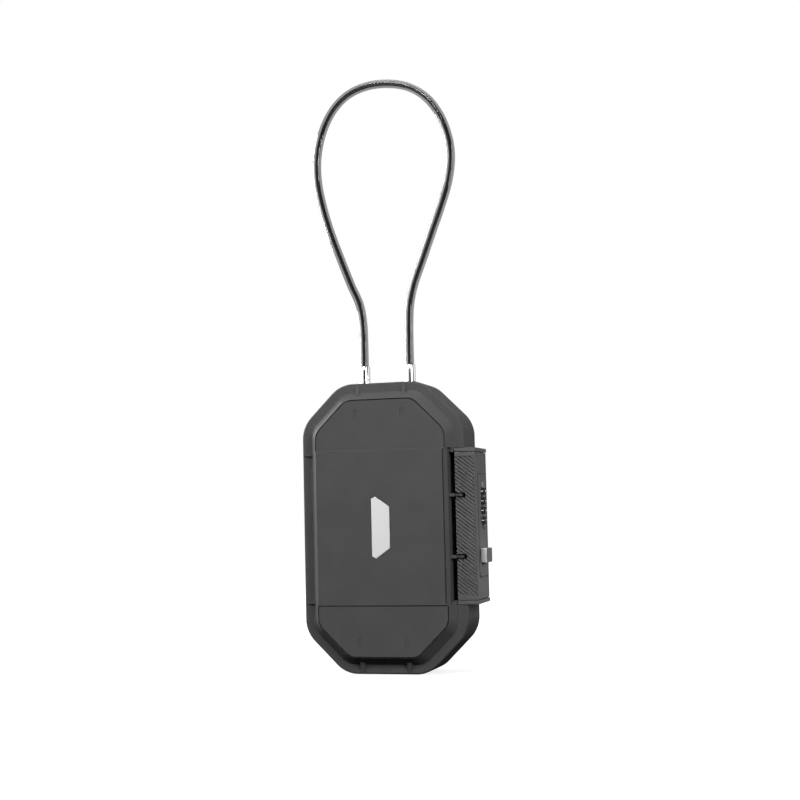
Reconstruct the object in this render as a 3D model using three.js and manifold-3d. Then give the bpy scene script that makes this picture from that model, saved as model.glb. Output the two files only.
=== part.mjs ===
// A portable car safe: a hinged clamshell case with a four-dial combination lock along one side
// and a steel tether cable looped out of its top. Millimetres.
// Case frame: x runs from the hinge side to the lock side, y from the front face to the back one
// and z up the height. The two halves meet on the plane y = 0, the case's middle.

import * as THREE from "three";
import { mergeVertices } from "three/addons/utils/BufferGeometryUtils.js";
import Module from "manifold-3d";

const wasm = await Module();
wasm.setup();

// Driving dimensions

const CLEAR = 0.3; // between pieces that touch or run past each other
const OVERRUN = 2; // how far a cutting shape runs past the face it cuts
const ROOT = 0.6; // how far a rib or boss is rooted in what carries it
const MERGE = 1e-4; // corners closer than this are one corner
const SIDES = { screw: 12, head: 16, bar: 24, dial: 40 }; // flats on a round solid
const CORNER_STEPS = 6; // flats on a rounded corner of the case
const ARC_STEPS = 8; // flats on a half-round end

const CASE = {
  width: 139.6,
  height: 240,
  rimDepth: 41.7, // from the front ledge to the rear ledge
  chamfer: 34.3, // each leg of the corner cuts
  cornerRadius: 26,
  rimRound: 1.6,
  rimShares: [0, 0.25, 0.6, 1], // rings of the rounded rim, by height
  rimEndShare: 1.3,
  wall: 2.6,
};
// The raised face of each half: a nearly flat ledge, a bevel, a flat panel and a band across it.
const FACE = {
  ledgeWidth: 8.1,
  ledgeRise: 0.4,
  footChamfer: 28.6,
  footRadius: 18,
  bevelRun: 5.9,
  bevelRise: 7.95,
  edgeChamfer: 26.9,
  edgeRadius: 14,
  bandHeight: 127,
  bandRise: 1,
};
const NOTCH = { depth: 12.8, bevelRun: 2.6 }; // the pocket in the side wall that takes the lock
const DIMPLE = { x: 20, z: 94, width: 3.3, length: 7.6, depth: 0.5 };
const GUSSET = {
  thickness: 3,
  sideThickness: 2,
  endX: 20,
  sideDrop: 2, // of the side ones, from the band's end
  proud: 0.275,
  edge: 0.53, // from the case's edge to the wedge's
  climb: 1.97, // how far it runs up the bevel
};
const BADGE = { width: 15.5, tall: 50.8, inner: 47.2, short: 34, nose: 3.6, depth: 0.7, sink: 0.05 };
const FOAM = { thickness: 4 };

const HINGE = { pinRadius: 1.5, barrelRadius: 3, length: 110, knuckles: 5, gap: 0.4 };

const LOCK = {
  gap: 4.4, // from the notch's floor to the lock
  depth: 17.1, // from that face to the outer one
  wall: 2.4,
  plate: 2,
  capThickness: 3.2,
  capProud: 0.5,
  hatchRecess: 0.4,
  hatchBorder: 3.4,
};
const COVER = {
  frontEdge: 6.5, // from the lock's front face
  rearEdge: 3.85, // from its rear one
  halfLength: 42.4,
  skin: 1.3,
  lip: 1.4,
  boss: 2,
  corner: 2.4,
};
const SCOOP = { length: 42, width: 16, depth: 0.8 };
const DIAL = {
  count: 4,
  numbers: 10,
  depth: 6.7, // from the lock's outer face to the dials' axis
  y: 6.2,
  z: 15.9, // the middle of the four
  pitch: 8,
  radius: 9.5,
  valley: 0.6,
  thickness: 5.4,
};
// Corners of a dial's edge, as shares of one number's turn: on its flat, then on the ridge beside it.
const valleyShares = [-0.2, 0, 0.2];
const ridgeShares = [0.28, 0.5, 0.72];
const CAM = { radius: 4.5, bore: 2.1, pocket: 3.6, pocketDepth: 2.4, key: 1.1 };
const SPINDLE = { radius: 1.8, toothReach: 3.3, toothWidth: 1.6, toothHeight: 1.5, fromEnd: 17.1 };
const SLIDE = {
  z: -24.6,
  height: 11.7,
  length: 20.4,
  rise: 5.6, // above the cover's face
  stemHeight: 5,
  stemLength: 7.2,
  travel: DIAL.pitch,
  screwHead: 1.8,
  screwShank: 1,
};
const CARRIER = { height: 16, rear: 10, fromLock: 3.6 };
const LATCH = { thickness: 1.5, top: 38, bottom: -44, swingRoom: 1.2, pinRadius: 1, pinLength: 5.5 };
const HOOK = {
  z: 25, // above and below the case's middle
  ribThickness: 2.6,
  armThickness: 2.8,
  armReach: 0.4, // past the lock's inner face
  legWidth: 2.2,
  legFrom: 3.6, // past it too
  legDepth: 2.3,
  legReach: 8.4,
  neckSink: 0.6, // below the lock's front face
  neckThickness: 1.8,
  capThickness: 1.2,
  barb: 0.7,
  barbHeight: 2.4,
};
const WINDOW = { beyond: 2.4, halfHeight: 2.1 };
const END_RIB = { thickness: 3.3, depth: 5.5, drop: 2.6 };
const SPRING = { coilRadius: 3.2, wire: 0.4, turns: 8, fromLock: 8.1, y: -4, sides: 5, turnSteps: 8 };
const DETENT = { strip: 0.5, width: 4, fromLock: 3.6 };
const RESET = { y: 9, z: -10, shaftRadius: 2.4, camRadius: 3, armLength: 12, armWidth: 5, armThickness: 2 };
const CASE_SCREW = { fromEnd: 8, front: 5.5, rear: 15, head: 2.8, headHeight: 1.6, shank: 1.3, length: 13 };

const CABLE = { diameter: 7.2, sides: 10, steps: 44, exitX: 20, exitHeight: 16.3 };
const FERRULE = { radius: 4.5, inside: 17.5, collarRadius: 6, collarBelow: 8.5, collarHeight: 3, lip: 0.6 };
const CRADLE = { height: 16.4, depth: 8 };
const CLAMP = { thickness: 1.6, height: 5, screwHead: 1.8, screwShank: 1 };

// The cable's route from the left ferrule to the right one, as x and z in the middle plane.
const CABLE_ROUTE = [
  [-CABLE.exitX, CASE.height / 2 + CABLE.exitHeight],
  [-20, 155],
  [-20.6, 174],
  [-23.2, 189.4],
  [-30.6, 207],
  [-39.2, 229.5],
  [-48.6, 255.5],
  [-55.6, 280.7],
  [-59.1, 302.1],
  [-58.6, 323.3],
  [-53.6, 343.2],
  [-44.4, 360.4],
  [-31.4, 372.6],
  [-14.4, 379],
  [5.4, 379.6],
  [24.4, 374.8],
  [39.8, 364.2],
  [51, 348.6],
  [57.9, 330.4],
  [60.3, 312.1],
  [57.8, 291.7],
  [51.4, 271.4],
  [42.5, 248.4],
  [33.2, 224.2],
  [25.2, 203.4],
  [21.4, 187.6],
  [20.3, 172],
  [20, 154],
  [CABLE.exitX, CASE.height / 2 + CABLE.exitHeight],
];

// Places worked out from them

const halfWidth = CASE.width / 2;
const halfHeight = CASE.height / 2;
const seam = CLEAR / 2;
const ledgeY = CASE.rimDepth / 2;
const footY = ledgeY + FACE.ledgeRise;
const panelY = footY + FACE.bevelRise;
const bandY = panelY + FACE.bandRise;
const edgeInset = FACE.ledgeWidth + FACE.bevelRun;
const halfBand = FACE.bandHeight / 2;
const notchX = halfWidth - NOTCH.depth;
const notchHalf = halfBand + CLEAR;
const innerWallX = notchX - CASE.wall;
const hingeX = -halfWidth - HINGE.barrelRadius - CLEAR;
const lockFront = -ledgeY; // y of the lock's front face
const lockInside = lockFront + LOCK.wall;
const lockInner = notchX + LOCK.gap;
const lockOuter = lockInner + LOCK.depth;
const lockHalf = halfBand - LOCK.capThickness - CLEAR;
const housingX = lockInner + LOCK.plate + CLEAR;
const wallX = lockOuter - LOCK.wall;
const coverFront = lockFront + COVER.frontEdge;
const coverRear = ledgeY - COVER.rearEdge;
const dialX = lockOuter - DIAL.depth;
const armEndX = lockInner + HOOK.armReach;
const legInnerX = lockInner + HOOK.legFrom;
const legOuterX = legInnerX + HOOK.legDepth;
const carrierInner = lockInner + CARRIER.fromLock;
const springX = lockInner + SPRING.fromLock;
const detentX = lockInner + DETENT.fromLock;
const screwZ = lockHalf - CASE_SCREW.fromEnd;
const gussetZ = halfBand - GUSSET.sideDrop;
const cableZ = halfHeight + CABLE.exitHeight;
const stepX = notchX + CLEAR; // the lock's deep rear part reaches in to here
const stepY = seam + CLEAR;
const coverBackX = lockOuter - COVER.skin - COVER.boss;
const dialPlaces = Array.from(
  { length: DIAL.count },
  (_, i) => DIAL.z + (i - (DIAL.count - 1) / 2) * DIAL.pitch,
);
const camHalf = DIAL.pitch / 2 - CLEAR / 2;
const stackHalf = (DIAL.count * DIAL.pitch) / 2;
const stemZ = SLIDE.z + (SLIDE.height - SLIDE.stemHeight) / 2 - CLEAR; // near the button's top
const stemHalf = SLIDE.stemHeight / 2;
const carrierTop = SLIDE.z + CARRIER.height / 2;
const carrierBottom = SLIDE.z - CARRIER.height / 2;
const carrierFront = lockInside + CLEAR + LATCH.thickness + CLEAR;
const carrierOuter = coverBackX - CLEAR;
const latchY = lockInside + CLEAR;
const clampScrewX = FERRULE.radius + CLAMP.thickness + CLAMP.screwHead + 2 * CLEAR;
const cradleHalf = clampScrewX + CLAMP.screwHead + ROOT;

const PAINT = {
  shell: { color: 0x4a4a4b, roughness: 0.62, metalness: 0 },
  lockBody: { color: 0x5a5a5b, roughness: 0.55, metalness: 0 },
  badge: { color: 0xd6d7d8, roughness: 0.35, metalness: 0.6 },
  foam: { color: 0x1c1c1d, roughness: 0.95, metalness: 0 },
  steel: { color: 0xb9babc, roughness: 0.3, metalness: 1 },
  chrome: { color: 0xe2e3e5, roughness: 0.12, metalness: 1 },
  brass: { color: 0xb89a55, roughness: 0.35, metalness: 1 },
  dial: { color: 0x151516, roughness: 0.45, metalness: 0 },
  slide: { color: 0x777879, roughness: 0.4, metalness: 0.2 },
  cable: { color: 0x3a3b3d, roughness: 0.25, metalness: 0.3 },
};

// Solids: each is a closed geometry until a cut or a join needs it as a manifold.

function toManifold(geometry) {
  const bare = geometry.index ? geometry.toNonIndexed() : geometry.clone();
  bare.deleteAttribute("normal");
  bare.deleteAttribute("uv");
  const merged = mergeVertices(bare, MERGE);
  return new wasm.Manifold(
    new wasm.Mesh({
      numProp: 3,
      vertProperties: merged.attributes.position.array,
      triVerts: new Uint32Array(merged.index.array),
    }),
  );
}

function toGeometry(solid) {
  const mesh = solid.getMesh();
  const geometry = new THREE.BufferGeometry();
  geometry.setAttribute("position", new THREE.BufferAttribute(mesh.vertProperties, 3));
  geometry.setIndex(new THREE.BufferAttribute(mesh.triVerts, 1));
  const flat = geometry.toNonIndexed();
  flat.computeVertexNormals();
  return flat;
}

function join(first, ...rest) {
  return rest.reduce((sum, next) => sum.add(toManifold(next)), toManifold(first));
}

function cut(solid, ...cutters) {
  return cutters.reduce((left, next) => left.subtract(toManifold(next)), solid);
}

function block(x, y, z) {
  const geometry = new THREE.BoxGeometry(x[1] - x[0], y[1] - y[0], z[1] - z[0]);
  return geometry.translate((x[0] + x[1]) / 2, (y[0] + y[1]) / 2, (z[0] + z[1]) / 2);
}

// A prism along an axis. The outline's points are [y, z], [z, x] or [x, y] for x, y and z.
function prism(axis, outline, from, to) {
  const shape = new THREE.Shape(outline.map((p) => new THREE.Vector2(...p)));
  const geometry = new THREE.ExtrudeGeometry(shape, { depth: to - from, bevelEnabled: false });
  geometry.translate(0, 0, from);
  const [X, Y, Z] = [0, 1, 2].map((i) => new THREE.Vector3().setComponent(i, 1));
  const turn = new THREE.Matrix4();
  if (axis === "x") turn.makeBasis(Y, Z, X);
  if (axis === "y") turn.makeBasis(Z, X, Y);
  return geometry.applyMatrix4(turn);
}

// A round bar along an axis, centred at two coordinates given in the prism's order.
function bar(axis, radius, centre, from, to, sides = SIDES.bar) {
  const ring = Array.from({ length: sides }, (_, i) => {
    const angle = ((i + 0.5) * 2 * Math.PI) / sides;
    return [centre[0] + radius * Math.cos(angle), centre[1] + radius * Math.sin(angle)];
  });
  return prism(axis, ring, from, to);
}

// The case's outline drawn in by an inset, as [x, z] points with rounded corners.
function octagon(inset, chamfer, radius, steps = CORNER_STEPS) {
  const a = halfWidth - inset;
  const b = halfHeight - inset;
  const corners = [
    [a, b - chamfer],
    [a - chamfer, b],
    [chamfer - a, b],
    [-a, b - chamfer],
    [-a, chamfer - b],
    [chamfer - a, -b],
    [a - chamfer, -b],
    [a, chamfer - b],
  ].map((p) => new THREE.Vector2(...p));
  return corners.flatMap((corner, i) => {
    const before = corners.at(i - 1).clone().sub(corner).normalize();
    const after = corners[(i + 1) % corners.length].clone().sub(corner).normalize();
    const half = Math.acos(before.dot(after)) / 2;
    const middle = before.clone().add(after).normalize();
    const centre = corner.clone().addScaledVector(middle, radius / Math.sin(half));
    const toCorner = middle.clone().negate();
    const sweep = Math.PI / 2 - half;
    return Array.from({ length: steps + 1 }, (_, k) => {
      const turn = toCorner.clone().rotateAround(new THREE.Vector2(), sweep * ((2 * k) / steps - 1));
      return centre.clone().addScaledVector(turn, radius).toArray();
    });
  });
}

function outline(inset) {
  return octagon(inset, CASE.chamfer - inset * (2 - Math.SQRT2), CASE.cornerRadius - inset);
}

// A closed solid through rings of the same number of [x, z] points, each at its own y.
function stack(rings) {
  const count = rings[0].points.length;
  const vertices = rings.flatMap(({ points, y }) => points.flatMap(([x, z]) => [x, y, z]));
  const faces = [];
  const last = (rings.length - 1) * count;
  for (let r = 0; r < last; r += count)
    for (let i = 0; i < count; i++) {
      const j = (i + 1) % count;
      faces.push(r + i, r + count + i, r + count + j, r + i, r + count + j, r + j);
    }
  for (let i = 1; i < count - 1; i++) faces.push(0, i, i + 1, last, last + i + 1, last + i);
  const rising = rings[1].y > rings[0].y;
  if (!rising) faces.reverse();
  const geometry = new THREE.BufferGeometry();
  geometry.setAttribute("position", new THREE.Float32BufferAttribute(vertices, 3));
  return geometry.setIndex(faces);
}

function mesh(name, solid, paint) {
  const geometry = solid.isBufferGeometry ? solid : toGeometry(solid);
  const made = new THREE.Mesh(geometry, new THREE.MeshStandardMaterial(PAINT[paint]));
  made.name = name;
  return made;
}

// Case halves. Each is worked out for the front (side -1) or the rear (side 1).

function shellBody(side) {
  const round = CASE.rimRound;
  const slope = (inset) => (ledgeY + (inset / FACE.ledgeWidth) * FACE.ledgeRise) * side;
  const bandInset = edgeInset + FACE.bevelRun * (FACE.bandRise / FACE.bevelRise);
  const foot = octagon(FACE.ledgeWidth, FACE.footChamfer, FACE.footRadius);
  const edge = octagon(edgeInset, FACE.edgeChamfer, FACE.edgeRadius);
  const rim = CASE.rimShares.map((share) => ({
    points: outline(round * (1 - Math.sqrt(1 - share * share))),
    y: slope(round) - side * round * (1 - share),
  }));
  const rimEnd = round * CASE.rimEndShare;
  rim.push({ points: outline(rimEnd), y: slope(rimEnd) });
  const skin = stack([
    { points: outline(0), y: side * seam },
    ...rim,
    { points: foot, y: side * footY },
    { points: edge, y: side * panelY },
  ]);
  const band = stack([
    { points: foot, y: side * footY },
    { points: edge, y: side * panelY },
    { points: octagon(bandInset, FACE.edgeChamfer, FACE.edgeRadius), y: side * bandY },
  ]);
  const bandSlab = block(
    [-halfWidth, halfWidth],
    span(side, footY, bandY + OVERRUN),
    [-halfBand, halfBand],
  );
  const raised = toManifold(band).intersect(toManifold(bandSlab));
  return cut(toManifold(skin).add(raised), ...notchCutters(side)).subtract(hollow(side));
}

// A y interval given on the front or rear side, low value first.
function span(side, from, to) {
  return side < 0 ? [-to, -from] : [from, to];
}

function notchCutters(side) {
  const run = NOTCH.bevelRun;
  const rise = run * (FACE.bevelRise / FACE.bevelRun);
  const pocket = block(
    [notchX, halfWidth + OVERRUN],
    span(side, seam - OVERRUN, bandY + OVERRUN),
    [-notchHalf, notchHalf],
  );
  const corner = [
    [notchX - run, side * bandY],
    [notchX, side * (bandY - rise)],
    [halfWidth, side * (bandY - rise)],
    [halfWidth, side * (bandY + OVERRUN)],
    [notchX - run, side * (bandY + OVERRUN)],
  ];
  return [pocket, prism("z", corner, -notchHalf, notchHalf)];
}

function hollow(side) {
  const wall = CASE.wall;
  const inside = stack([
    { points: outline(wall), y: side * (seam - OVERRUN) },
    { points: outline(wall), y: side * (ledgeY - wall) },
    {
      points: octagon(FACE.ledgeWidth + wall, FACE.footChamfer, FACE.footRadius - wall),
      y: side * (footY - wall),
    },
    {
      points: octagon(edgeInset + wall / 2, FACE.edgeChamfer, FACE.edgeRadius - wall / 2),
      y: side * (panelY - wall),
    },
  ]);
  const keep = block(
    [innerWallX, halfWidth + OVERRUN],
    span(side, seam - 2 * OVERRUN, bandY + OVERRUN),
    [-notchHalf - wall, notchHalf + wall],
  );
  return cut(toManifold(inside), keep);
}

// Wedges on the ledge that stiffen the rim, from the bevel out to the edge.
function gussets(side) {
  const top = (inset) => {
    const share = (inset - FACE.ledgeWidth) / FACE.bevelRun;
    return footY + share * FACE.bevelRise;
  };
  const rootInset = FACE.ledgeWidth + GUSSET.climb;
  const profile = (reach) => [
    [reach - GUSSET.edge, side * (ledgeY - ROOT)],
    [reach - GUSSET.edge, side * (ledgeY + GUSSET.proud)],
    [reach - rootInset, side * (top(rootInset) + GUSSET.proud)],
    [reach - rootInset, side * (footY - ROOT)],
  ];
  const ends = [-1, 1].flatMap((end) =>
    [-GUSSET.endX, GUSSET.endX].map((x) => {
      const yz = profile(halfHeight).map(([z, y]) => [y, end * z]);
      return prism("x", yz, x - GUSSET.thickness / 2, x + GUSSET.thickness / 2);
    }),
  );
  const sides = [-gussetZ, gussetZ].map((z) => {
    const xy = profile(halfWidth);
    const left = xy.map(([x, y]) => [-x, y]);
    return prism("z", left, z - GUSSET.sideThickness / 2, z + GUSSET.sideThickness / 2);
  });
  return [...ends, ...sides];
}

// Every other knuckle belongs to the same half; knuckle 0 is the rear half's.
function knuckles(side) {
  const length = HINGE.length / HINGE.knuckles;
  const own = (i) => (i % 2 === 0) === side > 0;
  const places = Array.from({ length: HINGE.knuckles }, (_, i) => i).filter(own);
  return places.flatMap((i) => {
    const low = -HINGE.length / 2 + i * length + HINGE.gap / 2;
    const high = low + length - HINGE.gap;
    const web = block([hingeX, -halfWidth + ROOT], span(side, seam, HINGE.barrelRadius), [low, high]);
    return [bar("z", HINGE.barrelRadius, [hingeX, 0], low, high), web];
  });
}

function hingeBore() {
  return bar("z", HINGE.pinRadius + CLEAR, [hingeX, 0], -HINGE.length, HINGE.length);
}

// The half-round ways in the top wall that the cable's ferrules pass through.
function ferruleWays() {
  const low = halfHeight - CRADLE.height - CASE.wall - OVERRUN;
  return [-CABLE.exitX, CABLE.exitX].map((x) =>
    bar("z", FERRULE.radius + CLEAR, [x, 0], low, halfHeight + OVERRUN),
  );
}

function dimples() {
  const round = DIMPLE.width / 2;
  const straight = DIMPLE.length / 2 - round;
  const arc = Array.from({ length: ARC_STEPS + 1 }, (_, i) => (i / ARC_STEPS) * Math.PI);
  return [-1, 1].flatMap((up) =>
    [-DIMPLE.x, DIMPLE.x].map((x) => {
      const z = up * DIMPLE.z;
      const upper = arc.map((t) => [z + straight + round * Math.sin(t), x + round * Math.cos(t)]);
      const lower = arc.map((t) => [z - straight - round * Math.sin(t), x - round * Math.cos(t)]);
      return prism("y", [...upper, ...lower], -panelY - OVERRUN, -panelY + DIMPLE.depth);
    }),
  );
}

// The badge's outline: a long side towards the hinge and a short one towards the lock.
function badgeOutline(grow) {
  const left = -BADGE.width / 2 - grow;
  const right = BADGE.width / 2 + grow;
  return [
    [-BADGE.inner / 2 - grow / 2, left],
    [-BADGE.tall / 2 - grow, left + BADGE.nose],
    [-BADGE.short / 2 - grow / 2, right],
    [BADGE.short / 2 + grow / 2, right],
    [BADGE.tall / 2 + grow, left + BADGE.nose],
    [BADGE.inner / 2 + grow / 2, left],
  ];
}

// The hooked ribs that bridge from the front half's band to the lock's front face.
function hookRibs() {
  const outer = lockFront - CLEAR;
  const armY = [outer - HOOK.armThickness, outer];
  const thick = HOOK.ribThickness / 2;
  return [-HOOK.z, HOOK.z].flatMap((z) => {
    const low = legInnerX;
    const reach = lockFront + HOOK.legReach;
    const rib = block(
      [notchX - ROOT, lockInner - CLEAR],
      [armY[0], lockFront + END_RIB.depth],
      [z - thick, z + thick],
    );
    const arm = block([notchX, armEndX], armY, [z - thick, z + thick]);
    const half = HOOK.legWidth / 2;
    const neck = block(
      [lockInner - CLEAR - ROOT, legOuterX],
      [lockFront + HOOK.neckSink, lockFront + HOOK.neckSink + HOOK.neckThickness],
      [z - half, z + half],
    );
    const leg = block([low, legOuterX], [outer - HOOK.capThickness, reach], [z - half, z + half]);
    const barb = prism(
      "x",
      [
        [reach, z],
        [reach - HOOK.barbHeight, z],
        [reach - HOOK.barbHeight, z - half - HOOK.barb],
        [reach - HOOK.barbHeight / 2, z - half - HOOK.barb],
        [reach, z - half],
      ],
      low,
      legOuterX,
    );
    return [rib, arm, neck, leg, barb];
  });
}

// The two plain ribs that close the notch's ends beside the lock's end caps.
function endRibs(side) {
  const y = span(side, ledgeY + END_RIB.drop - END_RIB.depth, ledgeY + END_RIB.drop);
  return [-1, 1].map((end) => {
    const z = [notchHalf + ROOT, halfBand - END_RIB.thickness].map((v) => end * v).sort((a, b) => a - b);
    return block([notchX - ROOT, lockInner - CLEAR], y, z);
  });
}

function frontShell() {
  const badgePocket = prism("y", badgeOutline(CLEAR), -bandY - OVERRUN, -bandY + BADGE.depth + CLEAR);
  const extras = [...gussets(-1), ...knuckles(-1), ...endRibs(-1), ...hookRibs()];
  const whole = extras.reduce((sum, part) => sum.add(toManifold(part)), shellBody(-1));
  return cut(whole, hingeBore(), ...ferruleWays(), ...dimples(), badgePocket);
}

function rearShell() {
  const top = halfHeight - CASE.wall + ROOT;
  const low = halfHeight - CASE.wall - CRADLE.height;
  const half = cradleHalf;
  const cradles = [-CABLE.exitX, CABLE.exitX].map((x) =>
    block([x - half, x + half], [seam, CRADLE.depth], [low, top]),
  );
  const collarZ = halfHeight - FERRULE.collarBelow;
  const collars = [-CABLE.exitX, CABLE.exitX].map((x) =>
    bar("z", FERRULE.collarRadius + CLEAR, [x, 0], collarZ - FERRULE.collarHeight - CLEAR, collarZ + CLEAR),
  );
  const clampHoles = [-1, 1].map((way) =>
    bar(
      "y",
      CLAMP.screwShank + CLEAR,
      [clampZ(), -CABLE.exitX + way * clampScrewX],
      seam - OVERRUN,
      CRADLE.depth - CASE.wall / 2,
      SIDES.screw,
    ),
  );
  const screwHoles = caseScrewPlaces().map(([y, z]) =>
    bar("x", CASE_SCREW.shank + CLEAR, [y, z], innerWallX - OVERRUN, notchX + OVERRUN, SIDES.screw),
  );
  const resetHole = bar(
    "x",
    RESET.shaftRadius + CLEAR,
    [RESET.y, RESET.z],
    innerWallX - OVERRUN,
    notchX + OVERRUN,
    SIDES.head,
  );
  const extras = [...gussets(1), ...knuckles(1), ...cradles];
  const whole = extras.reduce((sum, part) => sum.add(toManifold(part)), shellBody(1));
  return cut(
    whole,
    hingeBore(),
    ...ferruleWays(),
    ...collars,
    ...clampHoles,
    ...screwHoles,
    resetHole,
  );
}

function hingePin() {
  const half = HINGE.length / 2 + CLEAR;
  return bar("z", HINGE.pinRadius, [hingeX, 0], -half, half);
}

function badgePlate() {
  const face = -bandY + BADGE.sink;
  return prism("y", badgeOutline(0), face, face + BADGE.depth);
}

function foamLiner(side) {
  const points = octagon(edgeInset + CASE.wall / 2 + CLEAR, FACE.edgeChamfer, FACE.edgeRadius);
  const back = side * (panelY - CASE.wall - CLEAR);
  return stack([
    { points, y: back },
    { points, y: back - side * FOAM.thickness },
  ]);
}

// Lock: a C-shaped housing on a chassis, closed by a cap at each end and a cover on its side.

function caseScrewPlaces() {
  return [CASE_SCREW.front, CASE_SCREW.rear].flatMap((y) => [-screwZ, screwZ].map((z) => [y, z]));
}

function lockChassis() {
  const z = [-lockHalf + CLEAR, lockHalf - CLEAR];
  const plate = block([lockInner, lockInner + LOCK.plate], [lockInside + CLEAR, ledgeY], z);
  const step = block([stepX, lockInner + LOCK.plate], [stepY, ledgeY], z);
  const shelfX = [lockInner + ROOT, coverBackX - CLEAR];
  const shelfY = [DIAL.y - DIAL.radius, DIAL.y + DIAL.radius];
  const shelves = [-1, 1].map((way) => {
    const near = DIAL.z + way * (stackHalf + CLEAR);
    return block(shelfX, shelfY, [near, near + way * LOCK.plate].sort((a, b) => a - b));
  });
  const well = bar(
    "z",
    DIAL.radius + CLEAR,
    [dialX, DIAL.y],
    DIAL.z - stackHalf - CLEAR,
    DIAL.z + stackHalf + CLEAR,
    SIDES.dial,
  );
  const spindleWay = bar("z", CAM.pocket, [dialX, DIAL.y], DIAL.z - 2 * stackHalf, DIAL.z + 2 * stackHalf);
  const screwHoles = caseScrewPlaces().map(([y, zz]) =>
    bar(
      "x",
      CASE_SCREW.shank + CLEAR,
      [y, zz],
      stepX - OVERRUN,
      lockInner + LOCK.plate + OVERRUN,
      SIDES.screw,
    ),
  );
  const resetHole = bar(
    "x",
    RESET.shaftRadius + CLEAR,
    [RESET.y, RESET.z],
    stepX - OVERRUN,
    lockInner + LOCK.plate + OVERRUN,
    SIDES.head,
  );
  const whole = join(plate, step, ...shelves);
  return cut(whole, well, spindleWay, ...screwHoles, resetHole);
}

function lockHousing() {
  const z = [-lockHalf, lockHalf];
  const whole = block([housingX, lockOuter], [lockFront, ledgeY], z);
  const lip = block([lockInner, housingX + ROOT], [lockFront, lockInside], z);
  const inside = block(
    [housingX - OVERRUN, wallX],
    [lockInside, ledgeY - LOCK.wall],
    [z[0] - OVERRUN, z[1] + OVERRUN],
  );
  const bosses = caseScrewPlaces().map(([y, zz]) =>
    bar("x", CASE_SCREW.head + CLEAR, [y, zz], housingX, wallX + ROOT, SIDES.head),
  );
  const bossHoles = caseScrewPlaces().map(([y, zz]) =>
    bar("x", CASE_SCREW.shank + CLEAR, [y, zz], housingX - OVERRUN, wallX - LOCK.wall, SIDES.screw),
  );
  const hatchZ = lockHalf - LOCK.hatchBorder;
  const hatch = block(
    [lockInner - OVERRUN, lockOuter - LOCK.capProud],
    [lockFront - OVERRUN, lockFront + LOCK.hatchRecess],
    [-hatchZ, hatchZ],
  );
  const windows = [-HOOK.z, HOOK.z].map((zz) =>
    block(
      [lockInner - OVERRUN, legOuterX + WINDOW.beyond],
      [lockFront - OVERRUN, lockInside + OVERRUN],
      [zz - WINDOW.halfHeight, zz + WINDOW.halfHeight],
    ),
  );
  const seat = prism("x", coverOutline(0), lockOuter - COVER.skin - CLEAR, lockOuter + OVERRUN);
  const way = block(
    [wallX - OVERRUN, lockOuter],
    [coverFront + COVER.lip, coverRear - COVER.lip],
    [-COVER.halfLength + COVER.lip, COVER.halfLength - COVER.lip],
  );
  const hollowed = cut(toManifold(whole), inside).add(toManifold(lip));
  const bossed = bosses.reduce((sum, boss) => sum.add(toManifold(boss)), hollowed);
  return cut(bossed, ...bossHoles, hatch, ...windows, seat, way);
}

// The side cover's outline as [y, z], with its front corners cut.
function coverOutline(inset) {
  const front = coverFront + inset;
  const rear = coverRear - inset;
  const top = COVER.halfLength - inset;
  const corner = COVER.corner;
  return [
    [front, top - corner],
    [front + corner, top],
    [rear, top],
    [rear, -top],
    [front + corner, -top],
    [front, corner - top],
  ];
}

function dialWays() {
  const half = DIAL.thickness / 2 + CLEAR;
  return dialPlaces.map((z) =>
    bar("z", DIAL.radius + CLEAR, [dialX, DIAL.y], z - half, z + half, SIDES.dial),
  );
}

function lockCover() {
  const skin = prism("x", coverOutline(CLEAR), lockOuter - COVER.skin, lockOuter);
  const inset = COVER.lip + CLEAR;
  const boss = block(
    [coverBackX, lockOuter - COVER.skin + CLEAR],
    [coverFront + inset, coverRear - inset],
    [-COVER.halfLength + inset, COVER.halfLength - inset],
  );
  const round = SCOOP.width / 2;
  const straight = SCOOP.length / 2 - round;
  const arc = Array.from({ length: ARC_STEPS + 1 }, (_, i) => (i / ARC_STEPS) * Math.PI);
  const stadium = [
    ...arc.map((t) => [DIAL.y + round * Math.cos(t), DIAL.z + straight + round * Math.sin(t)]),
    ...arc.map((t) => [DIAL.y - round * Math.cos(t), DIAL.z - straight - round * Math.sin(t)]),
  ];
  const scoop = prism("x", stadium, lockOuter - SCOOP.depth, lockOuter + OVERRUN);
  const trough = bar(
    "z",
    CAM.radius + CLEAR,
    [dialX, DIAL.y],
    DIAL.z - stackHalf - CLEAR,
    DIAL.z + stackHalf + CLEAR,
  );
  const slot = block(
    [coverBackX - OVERRUN, lockOuter + OVERRUN],
    [-SLIDE.stemLength / 2 - CLEAR, SLIDE.stemLength / 2 + CLEAR],
    [stemZ - stemHalf - SLIDE.travel - CLEAR, stemZ + stemHalf + CLEAR],
  );
  return cut(join(skin, boss), scoop, trough, slot, ...dialWays());
}

function endCap(end) {
  const z = (from, to) => [end * from, end * to].sort((a, b) => a - b);
  const base = lockHalf + CLEAR;
  const proud = LOCK.capProud;
  const plate = block(
    [lockInner, lockOuter + proud],
    [lockFront - proud, ledgeY],
    z(base, base + LOCK.capThickness),
  );
  const step = block([stepX, lockInner + ROOT], [stepY, ledgeY], z(base, base + LOCK.capThickness));
  const plug = block(
    [housingX + CLEAR, wallX - CLEAR],
    [lockInside + CLEAR, ledgeY - LOCK.wall - CLEAR],
    z(base - LOCK.wall / 2, base + ROOT),
  );
  return join(plate, step, plug);
}

// Combination: dials turn on cams, and the spindle's teeth pass the cams' keyways when they line up.

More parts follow.
